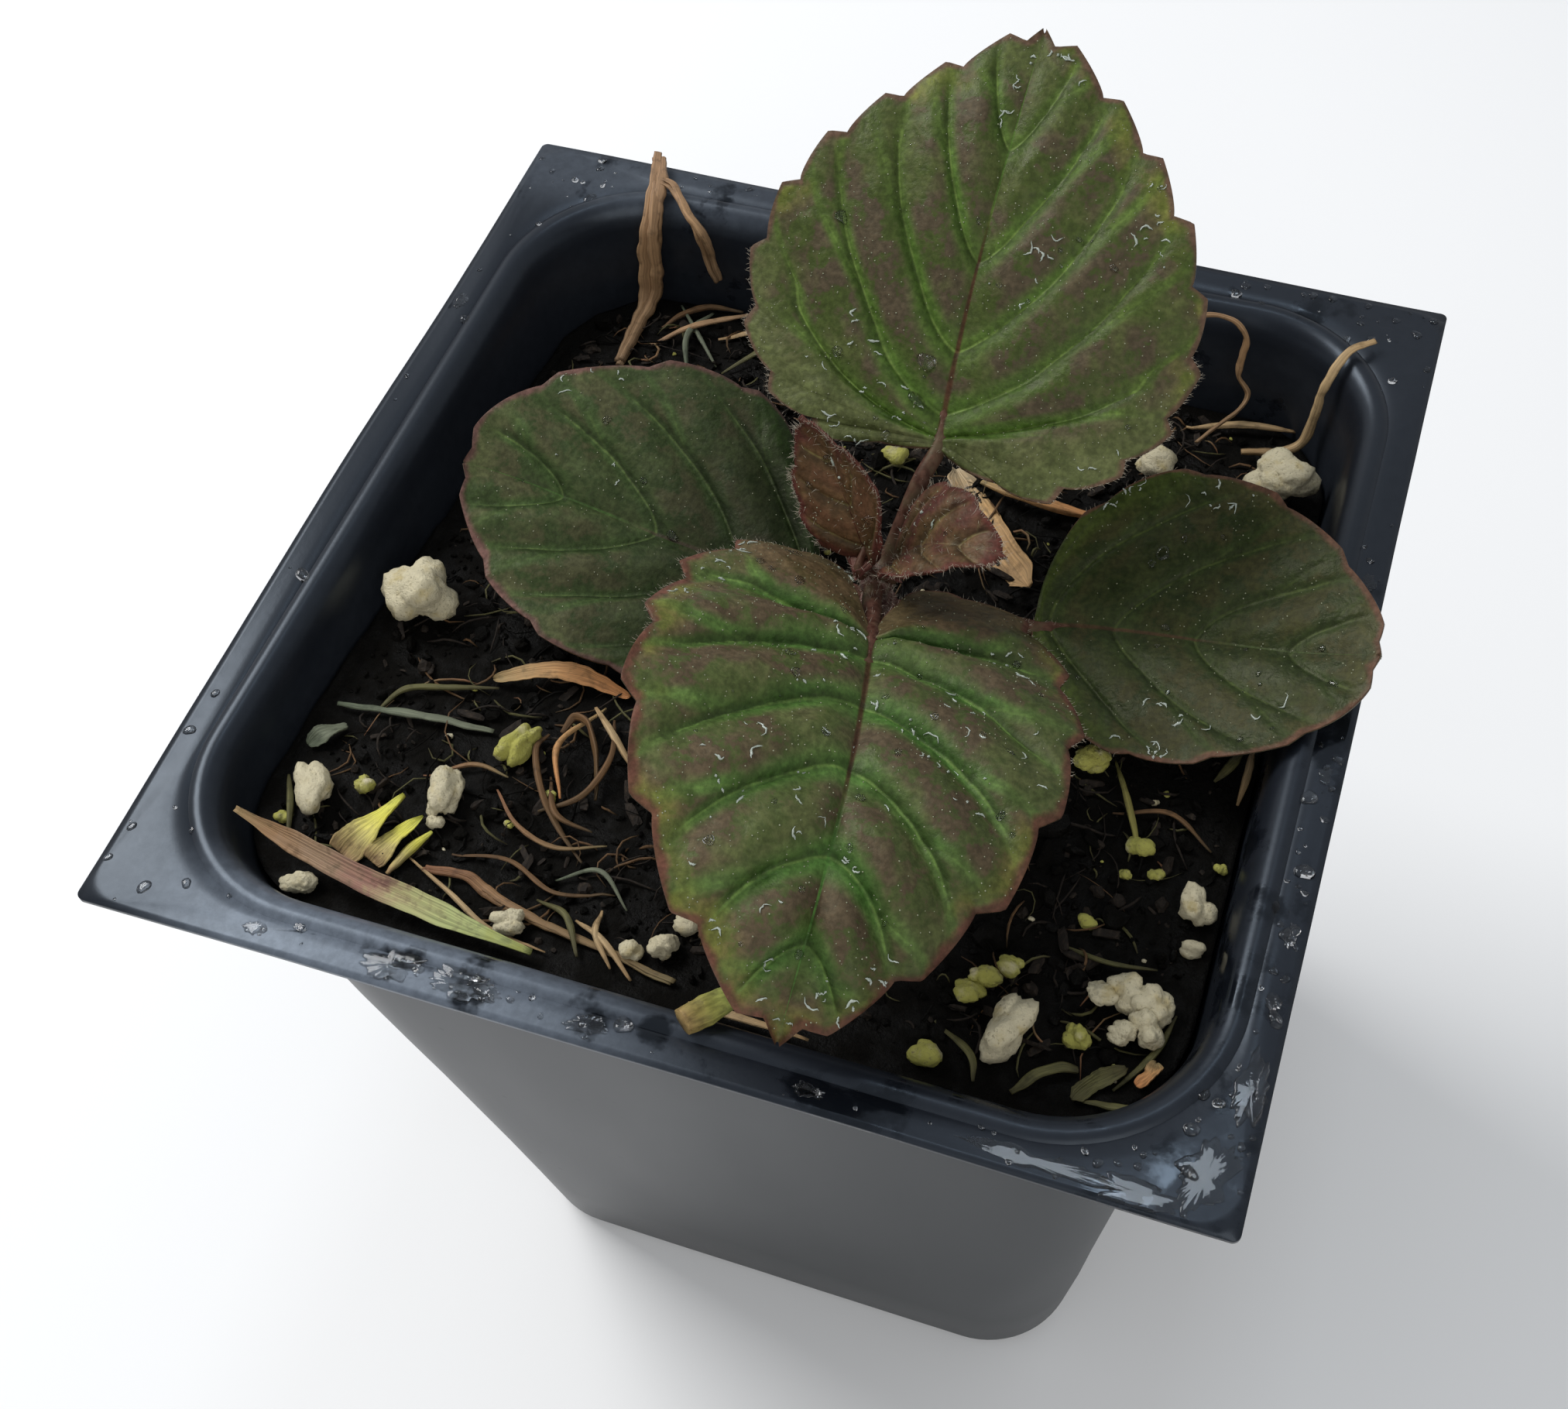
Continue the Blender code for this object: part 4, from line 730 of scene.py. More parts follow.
class Finish:
    """One procedural material, built node by node."""

    def __init__(self, name, **shader):
        self.material = bpy.data.materials.new(name)
        self.material.use_nodes = True
        self.tree = self.material.node_tree
        self.shader = self.tree.nodes["Principled BSDF"]
        for socket, value in shader.items():
            self.shader.inputs[socket.replace("_", " ")].default_value = value

    def node(self, kind, inputs, **settings):
        """A new node. Inputs gives a value or a link for its sockets, by number or name."""
        made = self.tree.nodes.new(kind)
        for name, value in settings.items():
            setattr(made, name, value)
        for key, value in inputs.items():
            self.put(made.inputs[key], value)
        return made

    def put(self, socket, value):
        """Links a socket to an input, or sets the input to a value."""
        if isinstance(value, bpy.types.NodeSocket):
            self.tree.links.new(value, socket)
        elif isinstance(value, tuple) and len(value) == 3 and socket.type == "RGBA":
            socket.default_value = (*value, 1.0)
        else:
            socket.default_value = value

    def math(self, operation, first, second=0.0, third=0.0):
        return self.node("ShaderNodeMath", {0: first, 1: second, 2: third}, operation=operation).outputs[0]

    def times(self, first, second):
        return self.math("MULTIPLY", first, second)

    def plus(self, first, second):
        return self.math("ADD", first, second)

    def times_plus(self, first, second, third):
        return self.math("MULTIPLY_ADD", first, second, third)

    def stretched(self, vector, factors):
        """The vector with each of its parts multiplied."""
        return self.node("ShaderNodeVectorMath", {0: vector, 1: factors}, operation="MULTIPLY").outputs[0]

    def mix(self, share, first, second, blend="MIX"):
        return self.node("ShaderNodeMix", {0: share, 6: first, 7: second}, data_type="RGBA",
                         blend_type=blend).outputs[2]

    def shaded(self, colour, shade):
        """The colour times a number."""
        return self.mix(1.0, colour, self.join(shade, shade, shade), "MULTIPLY")

    def rise(self, low, high, value, start=0.0, end=1.0):
        """Smoothly from start at low to end at high."""
        return self.node("ShaderNodeMapRange", {0: value, 1: low, 2: high, 3: start, 4: end},
                         interpolation_type="SMOOTHSTEP").outputs[0]

    def fall(self, low, high, value):
        """Smoothly from 1 at low to 0 at high."""
        return self.rise(low, high, value, 1.0, 0.0)

    def split(self, vector):
        return self.node("ShaderNodeSeparateXYZ", {0: vector}).outputs

    def join(self, x, y, z=0.0):
        return self.node("ShaderNodeCombineXYZ", {0: x, 1: y, 2: z}).outputs[0]

    def mark(self, title):
        """The vector that each point of the mesh carries under that title."""
        return self.node("ShaderNodeAttribute", {}, attribute_name=title).outputs["Vector"]

    def place(self):
        """Object coordinates, in millimetres."""
        metres = self.node("ShaderNodeTexCoord", {}).outputs["Object"]
        return self.node("ShaderNodeVectorMath", {0: metres, "Scale": 1 / MM}, operation="SCALE").outputs[0]

    def noise(self, vector, size, detail=3.0, roughness=0.55):
        """Noise from 0 to 1 with lumps of that size, in the vector's own unit."""
        return self.node("ShaderNodeTexNoise", {"Vector": vector, "Scale": 1 / size, "Detail": detail,
                                                "Roughness": roughness}).outputs["Fac"]

    def cells(self, vector, size):
        """Distance from the nearest of scattered points, from 0 to about 1."""
        return self.node("ShaderNodeTexVoronoi", {"Vector": vector, "Scale": 1 / size}).outputs["Distance"]

    def ramp(self, value, colours):
        """A colour from evenly spaced ones."""
        made = self.node("ShaderNodeValToRGB", {0: value})
        stops = made.color_ramp.elements
        while len(stops) < len(colours):
            stops.new(0.5)
        for number, colour in enumerate(colours):
            stops[number].position = number / (len(colours) - 1)
            stops[number].color = (*colour, 1.0)
        return made.outputs[0]

    def bump(self, height, depth):
        """A bump of that depth in millimetres."""
        made = self.node("ShaderNodeBump", {"Distance": depth * MM, "Height": height})
        self.put(self.shader.inputs["Normal"], made.outputs[0])

    def colour(self, value):
        self.put(self.shader.inputs["Base Color"], value)

    def roughness(self, value):
        self.put(self.shader.inputs["Roughness"], value)


def leaf_veins(made, vein, across, pitch, middle):
    """The signed distance from the nearest side vein, the distance from it or its fork, both in millimetres,
    how far out the place is, where veins can show, and how strongly one shows."""
    def off_line(value):
        whole = made.math("SUBTRACT", made.math("FRACT", made.plus(value, 0.5)), 0.5)
        return made.times(whole, pitch)

    signed = off_line(vein)
    distance = made.math("ABSOLUTE", signed)
    out = made.math("ABSOLUTE", across)
    fork_at = made.plus(vein, made.rise(FORK_FROM, FORK_TO, out, 0.0, FORK_SHARE))
    fork = made.plus(made.math("ABSOLUTE", off_line(fork_at)), made.fall(FORK_FROM, FORK_FROM + 0.1, out))
    inner = made.times(made.fall(0.72, 0.95, out), made.rise(1.0, 2.6, pitch))
    line = made.times(made.fall(0.05, 0.20, distance), inner)
    fork_line = made.times(made.fall(0.05, 0.16, fork), made.times(inner, 0.45))
    line = made.times(made.math("MAXIMUM", line, fork_line), made.rise(0.38, 0.55, middle, 0.25, 1.0))
    return signed, made.math("MINIMUM", distance, fork), out, inner, line


def leaf_material(name, tint):
    """A leaf blade: veins with bright green beside them, purple between, a reddish rim and a paler back, with
    painted shade beside the veins and painted light and shade across the blade.
    """
    made = Finish(name, **LEAF_GLOSS)
    vein, across, pitch = made.split(made.mark("place"))
    edge, along, under = made.split(made.mark("mark"))
    flat = made.place()
    large = made.noise(flat, 7.0, 3.0)
    middle = made.noise(flat, 2.2, 4.0)
    fine = made.noise(flat, 0.5, 3.0)
    signed, nearest, out, inner, line = leaf_veins(made, vein, across, pitch, middle)

    away = made.math("DIVIDE", nearest, made.times_plus(out, -1.9, 3.0))
    beside = made.times(made.fall(0.1, 0.9, away), made.rise(0.35, 0.62, large, 0.45, 1.0))
    beside = made.times(beside, made.rise(0.4, 0.95, out, 1.0, 0.35))
    mottled = made.times_plus(fine, 0.25, made.times(middle, 0.75))
    between = made.times(made.rise(0.15, 0.6, away), made.rise(0.43, 0.52, mottled))
    between = made.times(between, made.rise(0.40, 0.53, large, 0.25, tint["purple_share"]))
    colour = made.mix(between, tint["blade"], tint["purple"])
    colour = made.mix(made.times(beside, tint["veins"]), colour, tint["bright"])

    # Yellow-green near the margin: the leaf's own colour, with painted light shining through it on the back
    # leaf
    near_edge = made.times(made.fall(0.5, 3.4, edge), made.rise(0.46, 0.62, large))
    colour = made.mix(made.times(near_edge, 0.8), colour, tint["edge"])
    lobe = made.rise(0.72, 1.2, made.times_plus(large, 0.5, vein), 0.85, 0.0)
    colour = made.mix(lobe, colour, tint["lobe"])
    rim_at = made.times_plus(middle, -0.9, made.times_plus(edge, tint["rim_thin"], 0.35))
    colour = made.mix(made.rise(0.02, 0.42, rim_at, 0.9, 0.0), colour, tint["rim"])
    line_colour = made.mix(0.35, tint["bright"], (0.20, 0.24, 0.07))
    colour = made.mix(made.times(line, tint["veins"]), colour, line_colour)
    rib_colour = made.mix(made.rise(0.42, 0.62, along), tint["midrib"], tint["bright"])
    colour = made.mix(made.times(made.fall(0.006, 0.022, out), 0.9), colour, rib_colour)

    # Painted shade: a dark band on the base side of each side vein, then random lighter and darker mottling
    shade = made.times(made.rise(-1.3, -0.25, signed), made.fall(-0.18, 0.02, signed))
    shade = made.times_plus(made.times(shade, inner), -tint["shade"], 1.0)
    shade = made.times(made.rise(0.30, 0.75, fine, 0.72, 1.32), shade)
    shade = made.times(made.rise(0.3, 0.7, middle, 0.78, 1.22), shade)
    # Painted shade at the base and painted light at the tip
    if tint["base"]:
        shade = made.times(made.rise(0.1, 0.8, along, 1 - tint["base"], 1 + tint["base"]), shade)
    # Painted light: the left half lighter than the right one
    if tint["painted_side_light"]:
        shade = made.times(made.times_plus(across, -tint["painted_side_light"], 1.0), shade)
    back = made.mix(made.times(line, 0.6), tint["under"], (0.16, 0.16, 0.08))
    made.colour(made.mix(made.rise(0.4, 0.6, under), made.shaded(colour, shade), back))
    made.roughness(made.rise(0.3, 0.7, middle, 0.40, 0.6))
    made.bump(fine, 0.09)
    return made.material


def stalk_material(name, low, high, green):
    """A petiole or stem: purple-brown with greenish streaks and a fuzzy surface."""
    made = Finish(name, **LEAF_GLOSS)
    place = made.place()
    streak = made.noise(made.stretched(place, (1.0, 1.0, 0.3)), 0.5, 3.0)
    patch = made.noise(place, 2.4, 2.0)
    colour = made.mix(made.rise(0.35, 0.65, streak), low, high)
    made.colour(made.mix(made.rise(0.50, 0.70, patch, 0.0, 0.8), colour, green))
    made.bump(streak, 0.05)
    return made.material


def plain_material(name, size, colours, **shader):
    """A finish whose colour wanders between those given, in patches of that size."""
    made = Finish(name, **shader)
    made.colour(made.ramp(made.noise(made.place(), size), colours))
    return made.material


def water_material():
    """Clear water, with the finest ripple."""
    made = Finish("water", Roughness=0.0, IOR=WATER_IOR, Transmission_Weight=1.0,
                  Base_Color=(1.0, 1.0, 1.0, 1.0))
    made.bump(made.noise(made.place(), 0.8), 0.004)
    return made.material


def soil_material():
    """Damp dark peat."""
    made = Finish("soil_fine", Roughness=0.85, Specular_IOR_Level=0.1)
    place = made.place()
    coarse = made.noise(place, 3.0, 5.0, 0.65)
    fine = made.noise(place, 0.45, 4.0, 0.7)
    colour = made.ramp(made.times_plus(fine, 0.7, made.times(coarse, 0.3)),
                       ((0.0006, 0.0005, 0.0004), (0.0012, 0.0010, 0.0007), (0.0034, 0.0027, 0.0017),
                        (0.018, 0.013, 0.008)))
    made.colour(colour)
    made.roughness(made.rise(0.35, 0.6, coarse, 0.38, 0.9))
    made.bump(fine, 0.25)
    return made.material


def chip_material():
    """Dark brown bark."""
    made = Finish("bark_chip", Roughness=0.8, Specular_IOR_Level=0.25)
    grain = made.noise(made.stretched(made.place(), (1.0, 0.35, 2.0)), 0.35, 4.0)
    made.colour(made.ramp(grain, ((0.002, 0.0015, 0.001), (0.012, 0.008, 0.005), (0.055, 0.038, 0.024))))
    made.bump(grain, 0.12)
    return made.material


def perlite_material(name, yellow):
    """Rough expanded stone, cream with pits, and stained yellow or orange in places."""
    made = Finish(name, Roughness=0.7)
    place = made.place()
    stain = made.noise(place, 1.6, 3.0)
    pit = made.noise(place, 0.28, 5.0, 0.7)
    colour = made.mix(made.rise(0.35, 0.65, made.plus(stain, yellow * 0.35 - 0.2)),
                      (0.66, 0.59, 0.40), (0.44, 0.42, 0.09) if yellow > 0.5 else (0.50, 0.40, 0.18))
    colour = made.mix(made.rise(0.30, 0.46, pit, 0.75, 0.0), colour, (0.20, 0.16, 0.08))
    made.colour(colour)
    made.roughness(made.rise(0.4, 0.6, stain, 0.35, 0.8))
    made.bump(pit, 0.25)
    return made.material


def litter_material(name, colours):
    """A dry blade or straw: colours along it, with streaks and darker spots."""
    made = Finish(name, Roughness=0.6, Specular_IOR_Level=0.25)
    along, across, _ = made.split(made.mark("place"))
    place = made.place()
    streak = made.noise(made.join(made.times(along, 3.0), made.times(across, 7.0)), 1.0, 4.0)
    spot = made.noise(place, 0.9, 4.0)
    shifted = made.plus(along, made.times_plus(spot, 0.3, -0.15))
    colour = made.ramp(shifted, colours)
    shade = made.times(made.rise(0.25, 0.75, streak, 0.55, 1.25), made.rise(0.3, 0.5, spot, 0.65, 1.0))
    made.colour(made.shaded(colour, shade))
    made.bump(streak, 0.08)
    return made.material


def pot_material():
    """Black vacuum-formed plastic: hazy with dust and a painted bluish glare where it is dry, dark and shiny
    where wet, grey outside with painted light that is lighter to the left.
    """
    made = Finish("pot_plastic_fine", Roughness=0.3, Specular_IOR_Level=0.36,
                  Specular_Tint=(0.74, 0.86, 1.0, 1.0))
    wet_rule, outside, dust_and_glare = made.split(made.mark("place"))
    place = made.place()
    patch = made.noise(place, 5.0, 4.0, 0.6)
    dust = made.noise(place, 1.1, 5.0, 0.7)
    cloud = made.noise(place, 14.0, 3.0)
    inside = made.math("SUBTRACT", 1.0, outside)
    wet = made.times(made.rise(0.47, 0.54, made.plus(made.times(patch, 0.5), wet_rule)), inside)
    # The rim's colour: real dust, with a painted bluish glare, and a little painted light on the inner wall
    dust_and_glare_mix = made.times(dust_and_glare, made.rise(0.25, 0.75, dust, 0.7, 1.2))
    rim_colour = made.mix(dust_and_glare_mix, (0.005, 0.006, 0.009), (0.115, 0.135, 0.165))
    rim_colour = made.mix(wet, rim_colour, (0.004, 0.005, 0.007))
    # Painted light on the outer wall: lighter at the left, where the light falls, and darker to the right
    across = made.split(place)[0]
    light = made.rise(-38.0, 36.0, made.times_plus(cloud, 10.0, across))
    wall_colour = made.ramp(light, ((0.030, 0.030, 0.030), (0.018, 0.018, 0.018), (0.007, 0.008, 0.008),
                                    (0.004, 0.005, 0.005)))
    speck = made.rise(0.05, 0.085, made.cells(place, 4.2), 0.85, 0.0)
    wall_colour = made.mix(speck, wall_colour, (0.002, 0.002, 0.002))
    made.colour(made.mix(outside, rim_colour, wall_colour))
    dry_rough = made.times_plus(made.times(dust, inside), -0.1, 0.38)
    made.roughness(made.times_plus(wet, -0.22, dry_rough))
    calm = made.times(inside, made.times_plus(wet, -0.85, 1.0))
    made.bump(made.times(dust, calm), 0.012)
    return made.material


# Leaves

class Blade:
    """A leaf's sheet: t runs from its base to its tip, and s from the midrib, 0, to the margin, 1."""

    def __init__(self, leaf):
        self.leaf = leaf
        shares = np.linspace(0, 1, 81)
        self.midrib = bezier(leaf["midrib"], shares)
        self.along = way_along(self.midrib)
        self.length = self.along[-1]
        self.edges = {}
        self.uneven = {}
        for name in ("left", "right"):
            lobe, low, wide, high, tip = leaf[name]
            first = bezier(((0, 0), lobe, low, wide), shares)
            last = bezier((wide, high, tip, (0, self.length)), shares[1:])
            line = np.concatenate((first, last))
            way = way_along(line)
            self.edges[name] = (way / way[-1], line)
            sizes = [1.0 + TOOTH_UNEVEN * noise.noise(Vector((k * 1.7, leaf["seed"], len(name))))
                     for k in range(leaf["teeth"] + 1)]
            self.uneven[name] = np.array(sizes)

    def frame(self, a):
        """The midrib's points at a, with the leaf's side and up directions there."""
        inside = np.clip(a, 0.0, self.length)
        step = 0.02 * self.length
        forward = unit(point_at(np.minimum(inside + step, self.length), self.along, self.midrib)
                       - point_at(np.maximum(inside - step, 0.0), self.along, self.midrib))
        side = np.array(self.leaf["side"], float)
        side = unit(side - (forward @ side)[..., None] * forward)
        up = upward(np.cross(side, forward))
        place = point_at(inside, self.along, self.midrib)
        return place + forward * (a - inside)[..., None], side, up

    def tooth(self, name, t):
        """How far the margin stands out at t: each tooth swells towards the tip and then steps back in."""
        place = (t - TOOTH_START) / (TOOTH_END - TOOTH_START) * self.leaf["teeth"]
        number = np.clip(np.floor(place), 0, self.leaf["teeth"]).astype(int)
        share = np.clip(place - number, 0.0, 1.0)
        swell = np.where(share < TOOTH_TOP, (share / TOOTH_TOP) ** 0.7, (1 - share) / (1 - TOOTH_TOP))
        size = self.leaf["tooth"]
        toothed = size * (self.uneven[name][number] * swell - TOOTH_INSET)
        ease = np.minimum(1.0, np.minimum(t / TOOTH_START, (1 - t) / (1 - TOOTH_END)))
        return np.where((t > TOOTH_START) & (t < TOOTH_END), toothed, -TOOTH_INSET * size * ease)

    def margin(self, name, t):
        """The margin across and along the leaf at t, with its teeth."""
        edge = self.edges[name]
        ahead = unit(point_at(np.minimum(t + 0.01, 1), *edge) - point_at(np.maximum(t - 0.01, 0), *edge))
        outward = np.stack((ahead[:, 1], -ahead[:, 0]), axis=-1)
        return point_at(t, *edge) + outward * self.tooth(name, t)[:, None]

    def half(self, name, t, s):
        """Points of one half, by rows t and columns s, with the vein number there, the up direction, the way
        across from the midrib and the share of the way along it."""
        leaf = self.leaf
        edge = self.margin(name, t)
        across, along = edge[:, :1], edge[:, 1:]
        fan = np.maximum(0.0, (t - leaf["fan"]) / (1 - leaf["fan"])) ** leaf["reach"]
        rib = self.length * (VEIN_SPREAD * t + (1 - VEIN_SPREAD) * fan)[:, None]
        a = rib + (along - rib) * s**leaf["bend"]
        b = across * s * (1 if name == "right" else -1)
        place, side, up = self.frame(a)
        bowed = np.clip(t[:, None] - leaf["bow"] * s**2 * np.sin(math.pi * t[:, None]), 0.0, 1.0)
        number = leaf["veins"] * bowed ** leaf["crowd"]
        swell = np.sin(math.pi * (number - np.floor(number)) ** QUILT_LEAN) ** QUILT_ALONG
        swell = swell * np.sin(math.pi * s) ** QUILT_ACROSS * np.minimum(1.0, QUILT_START * t)[:, None]
        swell = swell * rise(0.5, 6.0, np.abs(across))
        height = leaf["cup"] * b * b / CUP_REACH + leaf["fold"] * (np.sqrt(b * b + 1.0) - 1.0)
        dip = VEIN_DIP * (1 - rise(*DIP_FADE, a / self.length))
        height = height + leaf["quilt"] * swell - dip * np.exp(-(b / VEIN_WIDTH) ** 2)
        wave = np.sin(2 * math.pi * MARGIN_WAVES * t + leaf["seed"])[:, None]
        height = height + leaf["wave"] * s**4 * wave - leaf["lobe_droop"] * np.maximum(0.0, -a) ** 2 * s
        return place + side * b[..., None] + up * height[..., None], number, up, b, a / self.length


def leaf_rows(leaf):
    """Places along the margin, closer together beside each side vein."""
    even = np.linspace(*ROW_ENDS, leaf["rows"] * 4)
    number = leaf["veins"] * even ** leaf["crowd"]
    off = np.abs(number - np.round(number))
    weight = 1.0 + ROW_CROWDING * np.exp(-(off / ROW_REACH) ** 2)
    total = np.concatenate(([0.0], np.cumsum((weight[1:] + weight[:-1]) / 2)))
    return np.interp(np.linspace(0, total[-1], leaf["rows"]), total, even)


def fine_half(blade, name, t, s):
    """One half's upper and lower points, with grooves along the veins, and the marks for its material."""
    leaf = blade.leaf
    points, number, up, b, share = blade.half(name, t, s)
    vein = np.clip(number + VEIN_WANDER * rough(points, 6.0, leaf["seed"] + 2), 0.5, leaf["veins"] - 0.5)
    steps = np.linalg.norm(np.gradient(points, axis=0), axis=-1)
    pitch = np.minimum(steps / np.maximum(np.gradient(number, axis=0), 1e-6), WIDEST_PITCH)
    out = s + 0 * number
    line = np.abs(vein - np.round(vein)) * pitch
    shifted = vein + FORK_SHARE * rise(FORK_FROM, FORK_TO, out)
    fork = np.abs(shifted - np.round(shifted)) * pitch
    groove = np.exp(-(line / GROOVE_WIDTH) ** 2) * rise(1.0, 0.75, out)
    forked = rise(FORK_FROM, FORK_FROM + 0.15, out) * rise(1.0, 0.8, out)
    groove = groove + 0.5 * np.exp(-(fork / GROOVE_WIDTH) ** 2) * forked
    lumps = rough(points, 2.6, leaf["seed"]) + 0.6 * rough(points, 1.1, leaf["seed"] + 1)
    calm = np.minimum(1.0, np.abs(b) / 2.0) * rise(1.0, 0.85, out)
    points = points + up * (leaf["pucker"] * lumps * calm - GROOVE_DEPTH * groove)[..., None]
    edge = np.linalg.norm(points[:, -1:] - points, axis=-1)
    along = np.clip(share, 0.0, 1.0)
    thick = BLADE_RIM + (BLADE_MIDDLE - BLADE_RIM) * rise(1.0, 0.6, out)
    rib = RIB_HEIGHT * (1.0 - RIB_TAPER * along) * np.exp(-(b / RIB_WIDTH) ** 2)
    thick = thick + rib + VEIN_RIDGE * groove
    signed = out * (1 if name == "right" else -1)
    marks = np.stack((vein, signed, pitch, edge, along, 0 * edge), axis=-1).reshape(*edge.shape, 2, 3)
    return points, points - up * thick[..., None], marks


def petiole_line(blade):
    """The petiole's line and radii: from the stem's axis to the blade, and on under its midrib's start."""
    leaf = blade.leaf
    stem = smooth_line(STEM_LINE, 10)[:, :3]
    nearest = np.linalg.norm(stem - leaf["petiole"][0], axis=1).argmin()
    points = [tuple(stem[nearest]), *leaf["petiole"]]
    radii = [leaf["petiole_radius"]] * 3
    for share in PETIOLE_SHARES:
        spot, _, up = blade.frame(np.array([blade.length * share]))
        points.append(tuple(spot[0] - up[0] * (VEIN_DIP + PETIOLE_DEPTH + share)))
        radii.append(leaf["petiole_radius"] * (PETIOLE_TAPER[0] - PETIOLE_TAPER[1] * share))
    line = smooth_line(points, 10)
    return line, np.interp(np.linspace(0, len(radii) - 1, len(line)), range(len(radii)), radii)


def make_leaf(name, leaf, materials):
    """A fine two-sided blade with grooves along its veins, and its petiole."""
    blade = Blade(leaf)
    t = leaf_rows(leaf)
    s = np.sin(np.linspace(0, math.pi / 2, leaf["columns"]))[None, :] ** COLUMN_CROWDING
    left = [part[:, :0:-1] for part in fine_half(blade, "left", t, s)]
    right = fine_half(blade, "right", t, s)
    top, bottom, marks = (np.concatenate(pair, axis=1) for pair in zip(left, right))
    normals = unit(np.cross(np.gradient(top, axis=1), np.gradient(top, axis=0)))
    if normals[..., 2].mean() < 0:
        normals = -normals
    else:
        top, bottom, marks, normals = (part[:, ::-1] for part in (top, bottom, marks, normals))
    points, faces = closed_sheet(top, bottom)
    back = marks.copy()
    back[..., 1, 2] = 1.0
    pile = Pile()
    pile.add(above_base(points), faces, 0, np.concatenate((marks.reshape(-1, 2, 3), back.reshape(-1, 2, 3))))
    line, radii = petiole_line(blade)
    pile.add_tube(above_base(line), radii, 20, 1, flat=0.85, ridges=0.05, seed=leaf["seed"])
    pile.make(name + "_fine", [materials[leaf["finish"]], materials["stalk"]], [name])
    dress_leaf(name, leaf, (top, normals, marks), line, radii, materials)


def dress_leaf(name, leaf, skin, line, radii, materials):
    """Drops, streaks of water with painted glints, glands and hairs on a leaf, whose skin is its upper side,
    and on its petiole.
    """
    rng = np.random.default_rng(leaf["seed"])
    top, normals, marks = skin
    area = cell_areas(top)
    edge = marks[..., 1, 0]
    young = name.startswith("young")

    pile = Pile()
    cells = pick_cells(rng, area * ((edge > 0.8) + 0.02), leaf["drops"])
    sizes = random_sizes(rng, *LEAF_DROP_SIZES, leaf["drops"])
    add_drops(pile, above_base(top[cells]), normals[cells], sizes, rng, LEAF_DROP_HEIGHTS)
    pile.make(name + "_drops", [materials["water"]])

    # Streaks of water, coloured pale as painted glints of light
    pile = Pile()
    groups = leaf["arcs"] // 5 + 1
    weights = (edge > 0.9) * (0.5 + 1.5 * (edge < 2.5)) + 0.01
    rows, columns = pick_cells(rng, area * weights, groups)
    picked = rng.integers(0, groups, leaf["arcs"])
    rows = np.clip(rows[picked] + rng.integers(-9, 10, leaf["arcs"]), 4, top.shape[0] - 5)
    columns = np.clip(columns[picked] + rng.integers(-3, 4, leaf["arcs"]), 3, top.shape[1] - 4)
    add_arcs(pile, above_base(top[rows, columns]), normals[rows, columns], rng)
    pile.make(name + "_painted_glints", [materials["streak"]])

    pile = Pile()
    cells = pick_cells(rng, area * ((edge > 0.4) + 0.02), leaf["glands"])
    ball, faces = BALLS[1]
    for place, normal in zip(above_base(top[cells]), normals[cells]):
        pile.add(place + normal * 0.01 + ball * rng.uniform(0.035, 0.07), [faces])
    pile.make(name + "_glands", [materials["gland"]])

    pile = Pile()
    at_base = 1.0 * (edge < 0.05) * (marks[..., 1, 1] < 0.35) + 1e-6
    weights = 0.07 + 3.0 * (edge < 0.25) if young else at_base
    cells = pick_cells(rng, area * weights, leaf["hairs"])
    tilt = rng.normal(scale=0.55, size=(leaf["hairs"], 3))
    outward = unit(top[cells] - top[cells[0], top.shape[1] // 2])
    outside = (edge[cells] < 0.25)[:, None]
    away = normals[cells] * np.where(outside, 0.3, 1.0) + outward * np.where(outside, 1.0, 0.0)
    lengths = rng.uniform(0.3, 0.75, leaf["hairs"]) * (1.0 if young else 0.7)
    add_hairs(pile, above_base(top[cells]), away + tilt, lengths, rng)
    add_stalk_hairs(pile, line, radii, rng.integers(0, len(line) - 8, PETIOLE_HAIRS), 0.85, rng)
    pile.make(name + "_hairs", [materials["hair"]])


def make_stem(materials):
    """The stem with its two nodes, and its hairs."""
    line = smooth_line(STEM_LINE, 10)
    line, radii = line[:, :3], line[:, 3]
    pile = Pile()
    pile.add_tube(above_base(line), radii, 24, ridges=0.05, seed=3)
    pile.make("stem_fine", [materials["stem"]], ["stem"])
    rng = np.random.default_rng(SEEDS["stem"])
    pile = Pile()
    add_stalk_hairs(pile, line, radii, rng.integers(30, len(line), STEM_HAIRS), 0.9, rng)
    pile.make("stem_hairs", [materials["hair"]])


# Soil and what lies on it

def wall_at(z):
    """Half the side and the corner radius of the pot's outside at height z."""
    share = (z - BASE_EDGE) / (BODY_TOP_Z - BASE_EDGE)
    half = BASE_HALF + (BODY_TOP_HALF - BASE_HALF) * share
    return half, BASE_CORNER + (BODY_TOP_CORNER - BASE_CORNER) * share


def soil_height(x, y):
    """The solid's own surface, from the rim."""
    lumps = SOIL_LUMP * noise.noise(Vector((x, y, 0.0)) / SOIL_LUMP_SIZE)
    off = math.hypot(x - STEM_LINE[0][0], y - STEM_LINE[0][1])
    return SOIL_LEVEL + SOIL_SLOPE * y + lumps - STEM_DISH * math.exp(-(off / STEM_DISH_REACH) ** 2)


def fine_height(x, y):
    """The surface with the finer lumps, which only rise from the solid's."""
    lumps = [size * abs(noise.noise(Vector((x, y, 40.0)) / reach)) for size, reach in SOIL_FINE]
    return soil_height(x, y) + sum(lumps)


def on_ground(x, y, gap=0.0):
    """A place on the rough soil, or as high over it as gap, from the base."""
    return x, y, POT_HEIGHT + fine_height(x, y) + gap


